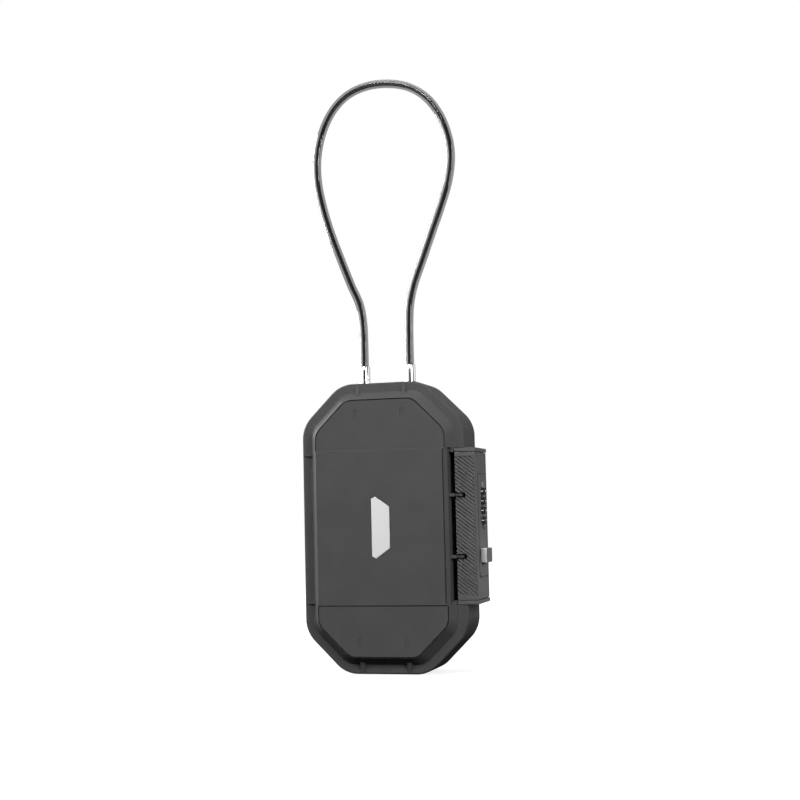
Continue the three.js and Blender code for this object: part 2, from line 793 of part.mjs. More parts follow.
function dialRing() {
  const points = [];
  for (let i = 0; i < DIAL.numbers; i++) {
    const at = (share, radius) => {
      const angle = ((i + share) * 2 * Math.PI) / DIAL.numbers;
      points.push([radius * Math.cos(angle), radius * Math.sin(angle)]);
    };
    valleyShares.forEach((share) => at(share, DIAL.radius - DIAL.valley));
    ridgeShares.forEach((share) => at(share, DIAL.radius));
  }
  const half = DIAL.thickness / 2;
  const ring = toManifold(prism("z", points, -half, half));
  return cut(ring, bar("z", CAM.radius + CLEAR, [0, 0], -DIAL.thickness, DIAL.thickness));
}

function codeCam() {
  const sleeve = toManifold(bar("z", CAM.radius, [0, 0], -camHalf, camHalf));
  const bore = bar("z", CAM.bore, [0, 0], -DIAL.pitch, DIAL.pitch);
  const pocket = bar("z", CAM.pocket, [0, 0], camHalf - CAM.pocketDepth, DIAL.pitch);
  const keyway = block([-CAM.pocket, 0], [-CAM.key, CAM.key], [-DIAL.pitch, DIAL.pitch]);
  return cut(sleeve, bore, pocket, keyway);
}

function lockingSpindle() {
  const low = SLIDE.z + CLEAR;
  const high = lockHalf - SPINDLE.fromEnd;
  const rod = bar("z", SPINDLE.radius, [0, 0], low, high);
  const teeth = dialPlaces.map((z) => {
    const top = z + camHalf - CLEAR;
    return block(
      [-SPINDLE.toothReach, 0],
      [-SPINDLE.toothWidth / 2, SPINDLE.toothWidth / 2],
      [top - SPINDLE.toothHeight, top],
    );
  });
  return join(rod, ...teeth);
}

function slideCarrier() {
  const z = [carrierBottom, carrierTop];
  const pastHook = lockFront + HOOK.legReach + 2 * CLEAR;
  const body = block([carrierInner, carrierOuter], [pastHook, CARRIER.rear], z);
  const foot = block([legOuterX + OVERRUN, carrierOuter], [carrierFront, pastHook + ROOT], z);
  const bore = bar(
    "z",
    SPINDLE.radius + CLEAR,
    [dialX, DIAL.y],
    SLIDE.z,
    carrierTop + OVERRUN,
  );
  const screwHole = bar(
    "x",
    SLIDE.screwShank + CLEAR,
    [0, stemZ],
    carrierInner - OVERRUN,
    lockOuter,
    SIDES.screw,
  );
  return cut(join(body, foot), bore, screwHole, ...latchPins(LATCH.pinRadius + CLEAR, CLEAR));
}

function slideButton() {
  const half = SLIDE.height / 2;
  const depth = SLIDE.length / 2;
  const face = lockOuter + CLEAR;
  const cap = block([face, lockOuter + SLIDE.rise], [-depth, depth], [SLIDE.z - half, SLIDE.z + half]);
  const stem = block(
    [coverBackX, face + ROOT],
    [-SLIDE.stemLength / 2, SLIDE.stemLength / 2],
    [stemZ - stemHalf, stemZ + stemHalf],
  );
  const hole = bar(
    "x",
    SLIDE.screwShank + CLEAR,
    [0, stemZ],
    coverBackX - OVERRUN,
    lockOuter,
    SIDES.screw,
  );
  return cut(join(cap, stem), hole);
}

function slideScrew() {
  const inner = carrierInner - CLEAR;
  const head = bar("x", SLIDE.screwHead, [0, stemZ], housingX + CLEAR / 2, inner, SIDES.head);
  const shank = bar("x", SLIDE.screwShank, [0, stemZ], inner - ROOT / 2, lockOuter - CLEAR, SIDES.screw);
  return join(head, shank);
}

function latchPlate() {
  const inner = housingX + CLEAR;
  const y = [latchY, latchY + LATCH.thickness];
  const plate = block([inner, wallX - CLEAR], y, [LATCH.bottom, LATCH.top]);
  const windows = [-HOOK.z, HOOK.z].map((z) => {
    const low = z - HOOK.legWidth / 2 - HOOK.barb - CLEAR;
    const high = z + HOOK.legWidth / 2 + CLEAR + SLIDE.travel;
    const x = [legInnerX - LATCH.swingRoom, legOuterX + WINDOW.beyond];
    return block(x, [y[0] - OVERRUN, y[1] + OVERRUN], [low, high]);
  });
  return cut(toManifold(plate), ...windows, ...latchPins(LATCH.pinRadius + CLEAR, OVERRUN));
}

// The two pins that join the latch plate to the carrier's foot.
function latchPins(radius, extra) {
  const x = (legOuterX + OVERRUN + carrierOuter) / 2;
  return [-1, 1].map((way) => {
    const z = SLIDE.z + (way * CARRIER.height) / 4;
    return bar("y", radius, [z, x], latchY - extra, latchY + LATCH.pinLength + extra, SIDES.screw);
  });
}

// One open compression coil on a vertical axis, from the lower end cap up to the carrier.
function latchSpring() {
  const low = -lockHalf + LOCK.wall / 2 + CLEAR + SPRING.wire;
  const high = carrierBottom - CLEAR - SPRING.wire;
  class Coil extends THREE.Curve {
    getPoint(share) {
      const angle = share * SPRING.turns * 2 * Math.PI;
      return new THREE.Vector3(
        springX + SPRING.coilRadius * Math.cos(angle),
        SPRING.y + SPRING.coilRadius * Math.sin(angle),
        low + share * (high - low),
      );
    }
  }
  return tube(new Coil(), SPRING.wire, SPRING.sides, SPRING.turns * SPRING.turnSteps);
}

function tube(curve, radius, sides, steps) {
  const ring = Array.from({ length: sides }, (_, i) => {
    const angle = (i * 2 * Math.PI) / sides;
    return new THREE.Vector2(radius * Math.cos(angle), radius * Math.sin(angle));
  });
  return new THREE.ExtrudeGeometry(new THREE.Shape(ring), { steps, extrudePath: curve, bevelEnabled: false });
}

// A sprung strip behind the dials, with one finger to click into each dial's valleys.
function detentSpring() {
  const back = ledgeY - LOCK.wall - CLEAR;
  const strip = DETENT.strip;
  const near = DIAL.y + DIAL.radius + CLEAR;
  const spine = block(
    [detentX, detentX + DETENT.width / 2],
    [back - strip, back],
    [DIAL.z - stackHalf, DIAL.z + stackHalf],
  );
  const fingers = dialPlaces.map((z) =>
    prism(
      "z",
      [
        [detentX, back],
        [detentX, back - strip],
        [dialX, near],
        [dialX, near + strip],
      ],
      z - DETENT.width / 2,
      z + DETENT.width / 2,
    ),
  );
  return join(spine, ...fingers);
}

// The lever inside the case that frees the dials from their cams while a new code is set.
function resetLever() {
  const armFrom = innerWallX - CLEAR - RESET.armThickness;
  const half = RESET.armWidth / 2;
  const arm = block(
    [armFrom, innerWallX - CLEAR],
    [RESET.y - half, RESET.y + half],
    [RESET.z - RESET.armLength, RESET.z + half],
  );
  const centre = [RESET.y, RESET.z];
  const shaft = bar("x", RESET.shaftRadius, centre, armFrom, housingX, SIDES.head);
  const end = bar("x", RESET.camRadius, centre, housingX, housingX + RESET.armThickness, SIDES.head);
  return join(arm, shaft, end);
}

function caseScrew() {
  const head = bar("x", CASE_SCREW.head, [0, 0], -CASE_SCREW.headHeight, 0, SIDES.head);
  const shank = bar(
    "x",
    CASE_SCREW.shank,
    [0, 0],
    -CASE_SCREW.headHeight / 2,
    CASE_SCREW.length,
    SIDES.screw,
  );
  return join(head, shank);
}

// Tether: a jacketed steel cable whose two ferrules stand in cradles in the case's top wall.

function cableLoop() {
  const points = CABLE_ROUTE.map(([x, z]) => new THREE.Vector3(x, 0, z));
  const path = new THREE.CatmullRomCurve3(points, false, "centripetal");
  return tube(path, CABLE.diameter / 2, CABLE.sides, CABLE.steps);
}

function ferrule() {
  const top = cableZ - CLEAR;
  const bottom = halfHeight - FERRULE.inside;
  const collar = halfHeight - FERRULE.collarBelow;
  const profile = [
    [0, bottom],
    [FERRULE.radius, bottom],
    [FERRULE.radius, collar - FERRULE.collarHeight],
    [FERRULE.collarRadius, collar - FERRULE.collarHeight],
    [FERRULE.collarRadius, collar],
    [FERRULE.radius, collar],
    [FERRULE.radius, top - FERRULE.lip],
    [FERRULE.radius - FERRULE.lip, top],
    [0, top],
  ].map((p) => new THREE.Vector2(...p));
  return new THREE.LatheGeometry(profile, SIDES.bar).rotateX(Math.PI / 2);
}

function clampZ() {
  const collar = halfHeight - FERRULE.collarBelow - FERRULE.collarHeight;
  return collar - 2 * CLEAR - CLAMP.height / 2;
}

// A strap that holds the left ferrule down in its cradle, as a plate with a half-round arch.
function cableClamp() {
  const low = clampZ() - CLAMP.height / 2;
  const high = clampZ() + CLAMP.height / 2;
  const radius = FERRULE.radius + CLEAR;
  const ears = block([-cradleHalf, cradleHalf], [-seam - CLAMP.thickness, -seam], [low, high]);
  const arch = cut(
    toManifold(bar("z", radius + CLAMP.thickness, [0, 0], low, high)),
    block([-CASE.width, CASE.width], [-seam, CASE.rimDepth], [low - OVERRUN, high + OVERRUN]),
  );
  const holes = [-1, 1].map((way) =>
    bar(
      "y",
      CLAMP.screwShank + CLEAR,
      [clampZ(), way * clampScrewX],
      -CASE.rimDepth,
      CASE.rimDepth,
      SIDES.screw,
    ),
  );
  const way = bar("z", radius, [0, 0], low - OVERRUN, high + OVERRUN);
  return cut(toManifold(ears).add(arch), way, ...holes);
}

function clampScrew() {
  const under = -seam - CLAMP.thickness - CLEAR;
  const head = bar("y", CLAMP.screwHead, [0, 0], under - CLAMP.thickness, under, SIDES.head);
  const shank = bar("y", CLAMP.screwShank, [0, 0], under - ROOT, CRADLE.depth - CASE.wall, SIDES.screw);
  return join(head, shank);
}

// Assembly

const safe = new THREE.Group();
safe.position.set(
  -(lockOuter + SLIDE.rise + hingeX - HINGE.barrelRadius) / 2,
  0,
  halfHeight,
);

const lid = new THREE.Group();
lid.add(
  mesh("front_shell", frontShell(), "shell"),
  mesh("badge_plate", badgePlate(), "badge"),
  mesh("front_foam_liner", foamLiner(-1), "foam"),
);

const body = new THREE.Group();
body.add(
  mesh("rear_shell", rearShell(), "shell"),
  mesh("rear_foam_liner", foamLiner(1), "foam"),
  mesh("hinge_pin", hingePin(), "steel"),
);

const lock = new THREE.Group();
lock.add(
  mesh("lock_chassis", lockChassis(), "lockBody"),
  mesh("lock_housing", lockHousing(), "lockBody"),
  mesh("lock_cover", lockCover(), "lockBody"),
  mesh("lock_end_cap_upper", endCap(1), "lockBody"),
  mesh("lock_end_cap_lower", endCap(-1), "lockBody"),
  mesh("latch_plate", latchPlate(), "steel"),
  mesh("slide_carrier", slideCarrier(), "dial"),
  mesh("slide_button", slideButton(), "slide"),
  mesh("slide_screw", slideScrew(), "steel"),
  ...latchPins(LATCH.pinRadius, 0).map((pin, i) => mesh(`latch_pin_${i + 1}`, pin, "steel")),
  mesh("latch_spring", latchSpring(), "steel"),
  mesh("detent_spring", detentSpring(), "steel"),
  mesh("reset_lever", resetLever(), "dial"),
);

const combination = new THREE.Group();
combination.position.set(dialX, DIAL.y, 0);
combination.add(mesh("locking_spindle", lockingSpindle(), "steel"));
dialPlaces.forEach((z, i) => {
  const ring = mesh(`number_dial_${DIAL.count - i}`, dialRing(), "dial");
  const cam = mesh(`code_cam_${DIAL.count - i}`, codeCam(), "brass");
  ring.position.z = z;
  cam.position.z = z;
  combination.add(ring, cam);
});
lock.add(combination);

caseScrewPlaces().forEach(([y, z], i) => {
  const screw = mesh(`case_screw_${i + 1}`, caseScrew(), "steel");
  screw.position.set(innerWallX - CLEAR, y, z);
  lock.add(screw);
});

const tether = new THREE.Group();
tether.add(mesh("cable_loop", cableLoop(), "cable"));
["left", "right"].forEach((hand, i) => {
  const end = mesh(`cable_ferrule_${hand}`, ferrule(), "chrome");
  end.position.x = (2 * i - 1) * CABLE.exitX;
  tether.add(end);
});
const clamp = mesh("cable_clamp", cableClamp(), "steel");
clamp.position.x = -CABLE.exitX;
tether.add(clamp);
[-1, 1].forEach((way, i) => {
  const screw = mesh(`clamp_screw_${i + 1}`, clampScrew(), "steel");
  screw.position.set(-CABLE.exitX + way * clampScrewX, 0, clampZ());
  tether.add(screw);
});

safe.add(lid, body, lock, tether);

const part = new THREE.Group();
part.add(safe);
export default part;
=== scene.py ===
# A portable car safe: a two-part plastic case that opens like a book, a lock with four number
# dials along its right side, and a steel cable in a clear jacket looped out of its top.
# Objects are in the frame's metres. Pieces are shaped in millimetres about the case's middle,
# with X from the hinge to the lock, -Y the front and Z up, and settle() puts them in the frame.

from math import cos, pi, radians, sin, sqrt, tan

import bpy
from mathutils import Matrix, Vector


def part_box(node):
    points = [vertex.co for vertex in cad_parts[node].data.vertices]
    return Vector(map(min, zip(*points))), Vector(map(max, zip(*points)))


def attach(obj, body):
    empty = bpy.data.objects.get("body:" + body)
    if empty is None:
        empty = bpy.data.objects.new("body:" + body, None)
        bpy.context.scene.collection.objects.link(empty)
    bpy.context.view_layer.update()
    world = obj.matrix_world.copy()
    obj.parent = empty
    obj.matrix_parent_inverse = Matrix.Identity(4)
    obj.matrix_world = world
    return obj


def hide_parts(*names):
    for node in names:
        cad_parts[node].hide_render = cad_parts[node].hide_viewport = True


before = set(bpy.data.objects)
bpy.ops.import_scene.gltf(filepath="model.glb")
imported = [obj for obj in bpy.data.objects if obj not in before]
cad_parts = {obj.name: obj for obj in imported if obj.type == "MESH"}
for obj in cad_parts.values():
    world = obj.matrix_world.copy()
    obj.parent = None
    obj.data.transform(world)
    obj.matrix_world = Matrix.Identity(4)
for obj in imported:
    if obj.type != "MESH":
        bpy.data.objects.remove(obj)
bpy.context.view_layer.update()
bpy.ops.object.select_all(action="DESELECT")


# Camera
# The photograph's own view, from a little to the right of the front and just above the floor,
# with the lens that its 800 by 800 frame gives.

camera_place = (0.32652, -1.12428, 0.13343)
camera_right = (0.96104, 0.27540, -0.02341)
camera_up = (0.04429, -0.06983, 0.99658)
camera_back = (0.27283, -0.95879, -0.07930)

bpy.ops.object.camera_add(location=camera_place)
camera = bpy.context.object
camera.matrix_world = (
    Matrix.Translation(camera_place)
    @ Matrix((camera_right, camera_up, camera_back)).transposed().to_4x4()
)
camera.data.sensor_width = 36
camera.data.lens = 62.547
camera.data.clip_start = 0.01
bpy.context.scene.camera = camera


# Tether cable
# Seven-strand steel wire in a smoke-clear vinyl jacket. It leaves one chromed sleeve in the
# top wall, stands up in a loop by its own stiffness and comes back to the other sleeve.

jacket_radius = 3.6
outer_strands = 6
strand_radius = 0.43
lay_radius = 0.82
lay_length = 11
jacket_start = 136.3
route_steps = 8
strand_steps = 22
sleeve_x = 20
cable_route = [
    (-sleeve_x, jacket_start),
    (-20, 155),
    (-20.6, 174),
    (-23.2, 189.4),
    (-30.6, 207),
    (-39.2, 229.5),
    (-48.6, 255.5),
    (-55.6, 280.7),
    (-59.1, 302.1),
    (-58.6, 323.3),
    (-53.6, 343.2),
    (-44.4, 360.4),
    (-31.4, 372.6),
    (-14.4, 379),
    (5.4, 379.6),
    (24.4, 374.8),
    (39.8, 364.2),
    (51, 348.6),
    (57.9, 330.4),
    (60.3, 312.1),
    (57.8, 291.7),
    (51.4, 271.4),
    (42.5, 248.4),
    (33.2, 224.2),
    (25.2, 203.4),
    (21.4, 187.6),
    (20.3, 172),
    (20, 154),
    (sleeve_x, jacket_start),
]

millimetre = 0.001
foam_middle = sum(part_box("front_foam_liner"), Vector()) / 2
case_middle = Vector((foam_middle.x, 0, foam_middle.z))
to_frame = Matrix.Translation(case_middle) @ Matrix.Scale(millimetre, 4)


def smooth_line(points, steps):
    """A centripetal curve through the points, with that many places from each to the next."""
    ends = [2 * points[0] - points[1], *points, 2 * points[-1] - points[-2]]
    places = []
    for before, start, end, after in zip(ends, ends[1:], ends[2:], ends[3:]):
        first = sqrt((start - before).length)
        second = first + sqrt((end - start).length)
        third = second + sqrt((after - end).length)
        for step in range(steps):
            t = first + (second - first) * step / steps
            a = before.lerp(start, t / first)
            b = start.lerp(end, (t - first) / (second - first))
            c = end.lerp(after, (t - second) / (third - second))
            early = a.lerp(b, t / second)
            late = b.lerp(c, (t - first) / (third - first))
            places.append(early.lerp(late, (t - first) / (second - first)))
    return [*places, points[-1]]


def wire(name, lines, radius, roundness):
    """Round rods along lines given in metres, as one curve with closed ends."""
    bpy.ops.curve.primitive_nurbs_path_add()
    piece = bpy.context.object
    piece.name = name
    piece.data.splines.clear()
    for line in lines:
        spline = piece.data.splines.new("POLY")
        spline.points.add(len(line) - 1)
        for point, place in zip(spline.points, line):
            point.co = (*place, 1)
    piece.data.bevel_depth = radius
    piece.data.bevel_resolution = roundness
    piece.data.use_fill_caps = True
    return piece


def preset(node, values):
    for socket, value in values.items():
        node.inputs[socket].default_value = value


def node_tools(tree):
    """Two calls for a node tree: one adds a node with its values, one links two nodes."""

    def add_node(kind, values={}):
        node = tree.nodes.new(f"ShaderNode{kind}")
        preset(node, values)
        return node

    def link(start, out, end, into):
        tree.links.new(start.outputs[out], end.inputs[into])

    return add_node, link


def new_finish(name):
    """A new material, its shader and its node tools."""
    material = bpy.data.materials.new(name)
    material.use_nodes = True
    tree = material.node_tree
    return material, tree.nodes["Principled BSDF"], *node_tools(tree)


def smoke_clear_vinyl():
    material, shader, add_node, link = new_finish("smoke_clear_vinyl")
    preset(shader, {"Base Color": (0.27, 0.27, 0.275, 1), "Transmission Weight": 1})
    preset(shader, {"IOR": 1.36, "Roughness": 0.05})
    return material


def twisted_steel():
    """Dark drawn wire with fine scratches."""
    material, shader, add_node, link = new_finish("twisted_steel")
    preset(shader, {"Base Color": (0.09, 0.09, 0.093, 1), "Metallic": 1})
    place = add_node("TexCoord")
    scratches = add_node("TexNoise", {"Scale": 900})
    spread = add_node("MapRange", {"To Min": 0.25, "To Max": 0.5})
    link(place, "Object", scratches, "Vector")
    link(scratches, "Fac", spread, "Value")
    link(spread, "Result", shader, "Roughness")
    return material


route = [to_frame @ Vector((x, 0, z)) for x, z in cable_route]
centre_line = smooth_line(route, route_steps)
jacket = wire("cable_jacket", [centre_line], jacket_radius * millimetre, roundness=8)
jacket.data.materials.append(smoke_clear_vinyl())
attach(jacket, "base")
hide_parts("cable_loop")

fine_line = smooth_line(route, strand_steps)
travelled = [0.0]
for start, end in zip(fine_line, fine_line[1:]):
    travelled.append(travelled[-1] + (end - start).length)
along_x, along_y, along_z = (Vector(axis) for axis in ((1, 0, 0), (0, 1, 0), (0, 0, 1)))
strands = [fine_line]
for number in range(outer_strands):
    strand = []
    for i, place in enumerate(fine_line):
        ahead = fine_line[min(i + 1, len(fine_line) - 1)] - fine_line[max(i - 1, 0)]
        sideways = ahead.normalized().cross(along_y)
        turn = 2 * pi * (travelled[i] / (lay_length * millimetre) + number / outer_strands)
        offset = cos(turn) * along_y + sin(turn) * sideways
        strand.append(place + lay_radius * millimetre * offset)
    strands.append(strand)
core = wire("cable_core", strands, strand_radius * millimetre, roundness=1)
core.data.materials.append(twisted_steel())
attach(core, "base")


# Cable sleeves
# Two turned and chromed brass sleeves crimped on the cable's ends. Each has a collar that sits
# in its cradle under the top wall, so the cable can't be pulled out of a shut case.

sleeve_radius = 4.5
sleeve_top = 136
sleeve_bottom = 102.5
sleeve_lip = 0.6
collar_radius = 6
collar_top = 111.5
collar_height = 3
crimp_depth = 0.3
crimp_places = (121, 124.5)
crimp_width = 1.2
sleeve_places = (-sleeve_x, sleeve_x)


def settle(piece, name, body, slot, material, *solids):
    """Puts a piece shaped in millimetres in the frame, dresses it and says what it rides on."""
    piece.name = name
    piece.data.name = name
    piece.data.transform(to_frame)
    piece.data.materials.clear()
    piece.data.materials.append(material)
    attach(piece, body)
    if solids:
        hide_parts(*solids)
    return piece


def select_none():
    bpy.ops.object.select_all(action="DESELECT")


def edit_all():
    bpy.ops.object.mode_set(mode="EDIT")
    bpy.ops.mesh.select_all(action="SELECT")


def face_outwards():
    """Turns all of the edited mesh's faces outwards and ends the editing."""
    bpy.ops.mesh.select_all(action="SELECT")
    bpy.ops.mesh.normals_make_consistent(inside=False)
    bpy.ops.object.mode_set(mode="OBJECT")


def turned(profile, centre, axis, steps=48, sharp_turn=28):
    """A lathe-turned solid: profile points are (radius, place along the axis)."""
    select_none()
    across = along_x if axis.z else along_z
    bpy.ops.mesh.primitive_circle_add(vertices=len(profile), fill_type="NOTHING")
    piece = bpy.context.object
    for vertex, (radius, along) in zip(piece.data.vertices, profile):
        vertex.co = centre + radius * across + along * axis
    edit_all()
    bpy.ops.mesh.spin(steps=steps, angle=2 * pi, center=centre, axis=axis)
    bpy.ops.mesh.select_all(action="SELECT")
    bpy.ops.mesh.remove_doubles(threshold=0.001)
    face_outwards()
    bpy.ops.object.shade_smooth_by_angle(angle=radians(sharp_turn))
    return piece


def satin_metal(name, colour, roughness, grain_size):
    """Plated or drawn metal, with a fine brushed grain in its gloss."""
    material, shader, add_node, link = new_finish(name)
    preset(shader, {"Base Color": (*colour, 1), "Metallic": 1})
    place = add_node("TexCoord")
    stretch = add_node("Mapping", {"Scale": (1, 1, 0.08)})
    grain = add_node("TexNoise", {"Scale": 1 / grain_size, "Detail": 3})
    gloss = add_node("MapRange", {"To Min": roughness * 0.75, "To Max": roughness * 1.3})
    bump = add_node("Bump", {"Strength": 0.12, "Distance": 0.00002})
    link(place, "Object", stretch, "Vector")
    link(stretch, "Vector", grain, "Vector")
    link(grain, "Fac", gloss, "Value")
    link(gloss, "Result", shader, "Roughness")
    link(grain, "Fac", bump, "Height")
    link(bump, "Normal", shader, "Normal")
    return material


sleeve_chrome = satin_metal("sleeve_chrome", (0.86, 0.87, 0.88), 0.14, 0.0006)
sleeve_profile = [
    (0, sleeve_bottom),
    (sleeve_radius - sleeve_lip, sleeve_bottom),
    (sleeve_radius, sleeve_bottom + sleeve_lip),
    (sleeve_radius, collar_top - collar_height),
    (collar_radius, collar_top - collar_height),
    (collar_radius, collar_top),
    (sleeve_radius, collar_top),
]
for crimp in crimp_places:
    sleeve_profile += [
        (sleeve_radius, crimp - crimp_width / 2),
        (sleeve_radius - crimp_depth, crimp - crimp_width / 4),
        (sleeve_radius - crimp_depth, crimp + crimp_width / 4),
        (sleeve_radius, crimp + crimp_width / 2),
    ]
sleeve_profile += [
    (sleeve_radius, sleeve_top - sleeve_lip),
    (sleeve_radius - sleeve_lip / 3, sleeve_top - sleeve_lip / 3),
    (sleeve_radius - sleeve_lip, sleeve_top),
    (0, sleeve_top),
]
for x, hand in zip(sleeve_places, ("left", "right")):
    sleeve = turned(sleeve_profile, x * along_x, along_z)
    settle(sleeve, f"cable_sleeve_{hand}", "base", "chrome", sleeve_chrome, f"cable_ferrule_{hand}")


# Case halves
# Two injection-moulded shells of dark grey plastic with a fine spark-eroded grain. Each is an
# octagon with big rounded corners: a rounded rim, a nearly flat ledge, a bevel and a flat panel
# with a band raised across it, and a notch in the right side that takes the lock.

case_half_width = 69.8
case_half_height = 120
rim_chamfer = 34.3
rim_corner = 26
rim_round = 1.6
seam_gap = 0.15
ledge_y = 20.85
ledge_width = 8.1
ledge_rise = 0.4
foot_chamfer = 28.6
foot_corner = 18
bevel_run = 5.9
bevel_rise = 7.95
edge_chamfer = 26.9
edge_corner = 14
band_half = 63.5
band_rise = 1
case_wall = 2.6
notch_depth = 12.8
notch_bevel = 2.6
panel_groove = 0.9
groove_sink = 1.6
groove_inset = 0.1
shell_easing = 0.35
shell_sharp_turn = 22
fit_gap = 0.3
past = 2  # how far a cutting tool reaches past what it cuts

foot_y = ledge_y + ledge_rise
panel_y = foot_y + bevel_rise
band_y = panel_y + band_rise
edge_inset = ledge_width + bevel_run
band_inset = edge_inset + band_rise * bevel_run / bevel_rise
notch_x = case_half_width - notch_depth
lock_face_y = -ledge_y
arc_profile = 0.548
corner_steps = 12


def apply_modifier(piece, kind, **settings):
    """Adds one modifier with its settings and applies it."""
    bpy.context.view_layer.objects.active = piece
    modifier = piece.modifiers.new("finish", kind)
    for setting, value in settings.items():
        setattr(modifier, setting, value)
    bpy.ops.object.modifier_apply(modifier=modifier.name)


def combine(piece, operation, parts):
    for part in parts:
        apply_modifier(piece, "BOOLEAN", object=part, operation=operation, solver="EXACT")
        bpy.data.objects.remove(part)
    return piece


def cut(piece, *tools):
    return combine(piece, "DIFFERENCE", tools)


def add(piece, *parts):
    return combine(piece, "UNION", parts)


def ease_edges(piece, width, angle=30, segments=2):
    """Rounds every edge that turns by more than the angle."""
    apply_modifier(
        piece,
        "BEVEL",
        width=width,
        segments=segments,
        limit_method="ANGLE",
        angle_limit=radians(angle),
        use_clamp_overlap=False,
        miter_outer="MITER_ARC",
    )


def shade(piece, angle=35):
    """Smooth shading that keeps the flat faces flat."""
    select_none()
    piece.select_set(True)
    bpy.context.view_layer.objects.active = piece
    bpy.ops.object.shade_smooth_by_angle(angle=radians(angle))
    apply_modifier(piece, "WEIGHTED_NORMAL", weight=80, keep_sharp=True)


def drawn_out(outline, low, high, axis):
    """A solid of one outline drawn out along an axis. Its points leave that axis out."""
    select_none()
    order = {"X": (2, 0, 1), "Y": (0, 2, 1), "Z": (0, 1, 2)}[axis]
    bpy.ops.mesh.primitive_circle_add(vertices=len(outline), fill_type="NGON")
    piece = bpy.context.object
    for vertex, (a, b) in zip(piece.data.vertices, outline):
        given = (a, b, low)
        vertex.co = [given[k] for k in order]
    step = [0, 0, 0]
    step["XYZ".index(axis)] = high - low
    edit_all()
    bpy.ops.mesh.extrude_region_move(TRANSFORM_OT_translate={"value": step})
    face_outwards()
    return piece


def block(x, y, z, eased=0):
    """A rectangular solid between the limits, with its edges eased if asked."""
    select_none()
    low, high = Vector((min(x), min(y), min(z))), Vector((max(x), max(y), max(z)))
    bpy.ops.mesh.primitive_cube_add(size=1, location=(low + high) / 2, scale=high - low)
    bpy.ops.object.transform_apply(location=True, rotation=True, scale=True)
    piece = bpy.context.object
    if eased:
        ease_edges(piece, eased)
    return piece


def rod(radius, low, high, axis, centre, sides=32):
    """A round bar along an axis. Its centre leaves that axis out."""
    turns = [2 * pi * (i + 0.5) / sides for i in range(sides)]
    ring = [(centre[0] + radius * cos(turn), centre[1] + radius * sin(turn)) for turn in turns]
    return drawn_out(ring, low, high, axis)


def octagon_ring(inset, chamfer, corner, y):
    """One line round the case: an octagon drawn in by the inset, with its corners rounded."""
    select_none()
    a = case_half_width - inset
    b = case_half_height - inset
    corners = [(a, b - chamfer), (a - chamfer, b)]
    corners += [(-x, z) for x, z in reversed(corners)]
    corners += [(x, -z) for x, z in reversed(corners)]
    bpy.ops.mesh.primitive_circle_add(vertices=8, fill_type="NGON")
    ring = bpy.context.object
    for vertex, (x, z) in zip(ring.data.vertices, corners):
        vertex.co = (x, y, z)
    edit_all()
    bpy.ops.mesh.bevel(
        offset=corner * tan(pi / 8),
        segments=corner_steps,
        profile=arc_profile,
        affect="VERTICES",
    )
    bpy.ops.mesh.select_all(action="SELECT")
    bpy.ops.mesh.delete(type="ONLY_FACE")
    bpy.ops.object.mode_set(mode="OBJECT")
    return ring


def outline_ring(inset, y):
    return octagon_ring(inset, rim_chamfer - inset * (2 - sqrt(2)), rim_corner - inset, y)


def panel_ring(inset, y):
    """A line drawn in by the inset from the panel's edge."""
    chamfer = edge_chamfer - inset * (2 - sqrt(2))
    return octagon_ring(edge_inset + inset, chamfer, edge_corner - inset, y)


def pick_vertices(piece, first, end):
    for part in (*piece.data.polygons, *piece.data.edges):
        part.select = False
    for vertex in piece.data.vertices:
        vertex.select = first <= vertex.index < end


def joined(pieces):
    select_none()
    for piece in pieces:
        piece.select_set(True)
    bpy.context.view_layer.objects.active = pieces[0]
    bpy.ops.object.join()
    return bpy.context.object


def skin_over(rings):
    """Joins rings into one closed solid, from the first one's face to the last one's."""
    count = len(rings[0].data.vertices)
    total = len(rings)
    piece = joined(rings)
    for k in range(total - 1):
        pick_vertices(piece, k * count, (k + 2) * count)
        bpy.ops.object.mode_set(mode="EDIT")
        bpy.ops.mesh.bridge_edge_loops()
        bpy.ops.object.mode_set(mode="OBJECT")
    for first in (0, (total - 1) * count):
        pick_vertices(piece, first, first + count)
        bpy.ops.object.mode_set(mode="EDIT")
        bpy.ops.mesh.edge_face_add()
        bpy.ops.object.mode_set(mode="OBJECT")
    bpy.ops.object.mode_set(mode="EDIT")
    face_outwards()
    return piece


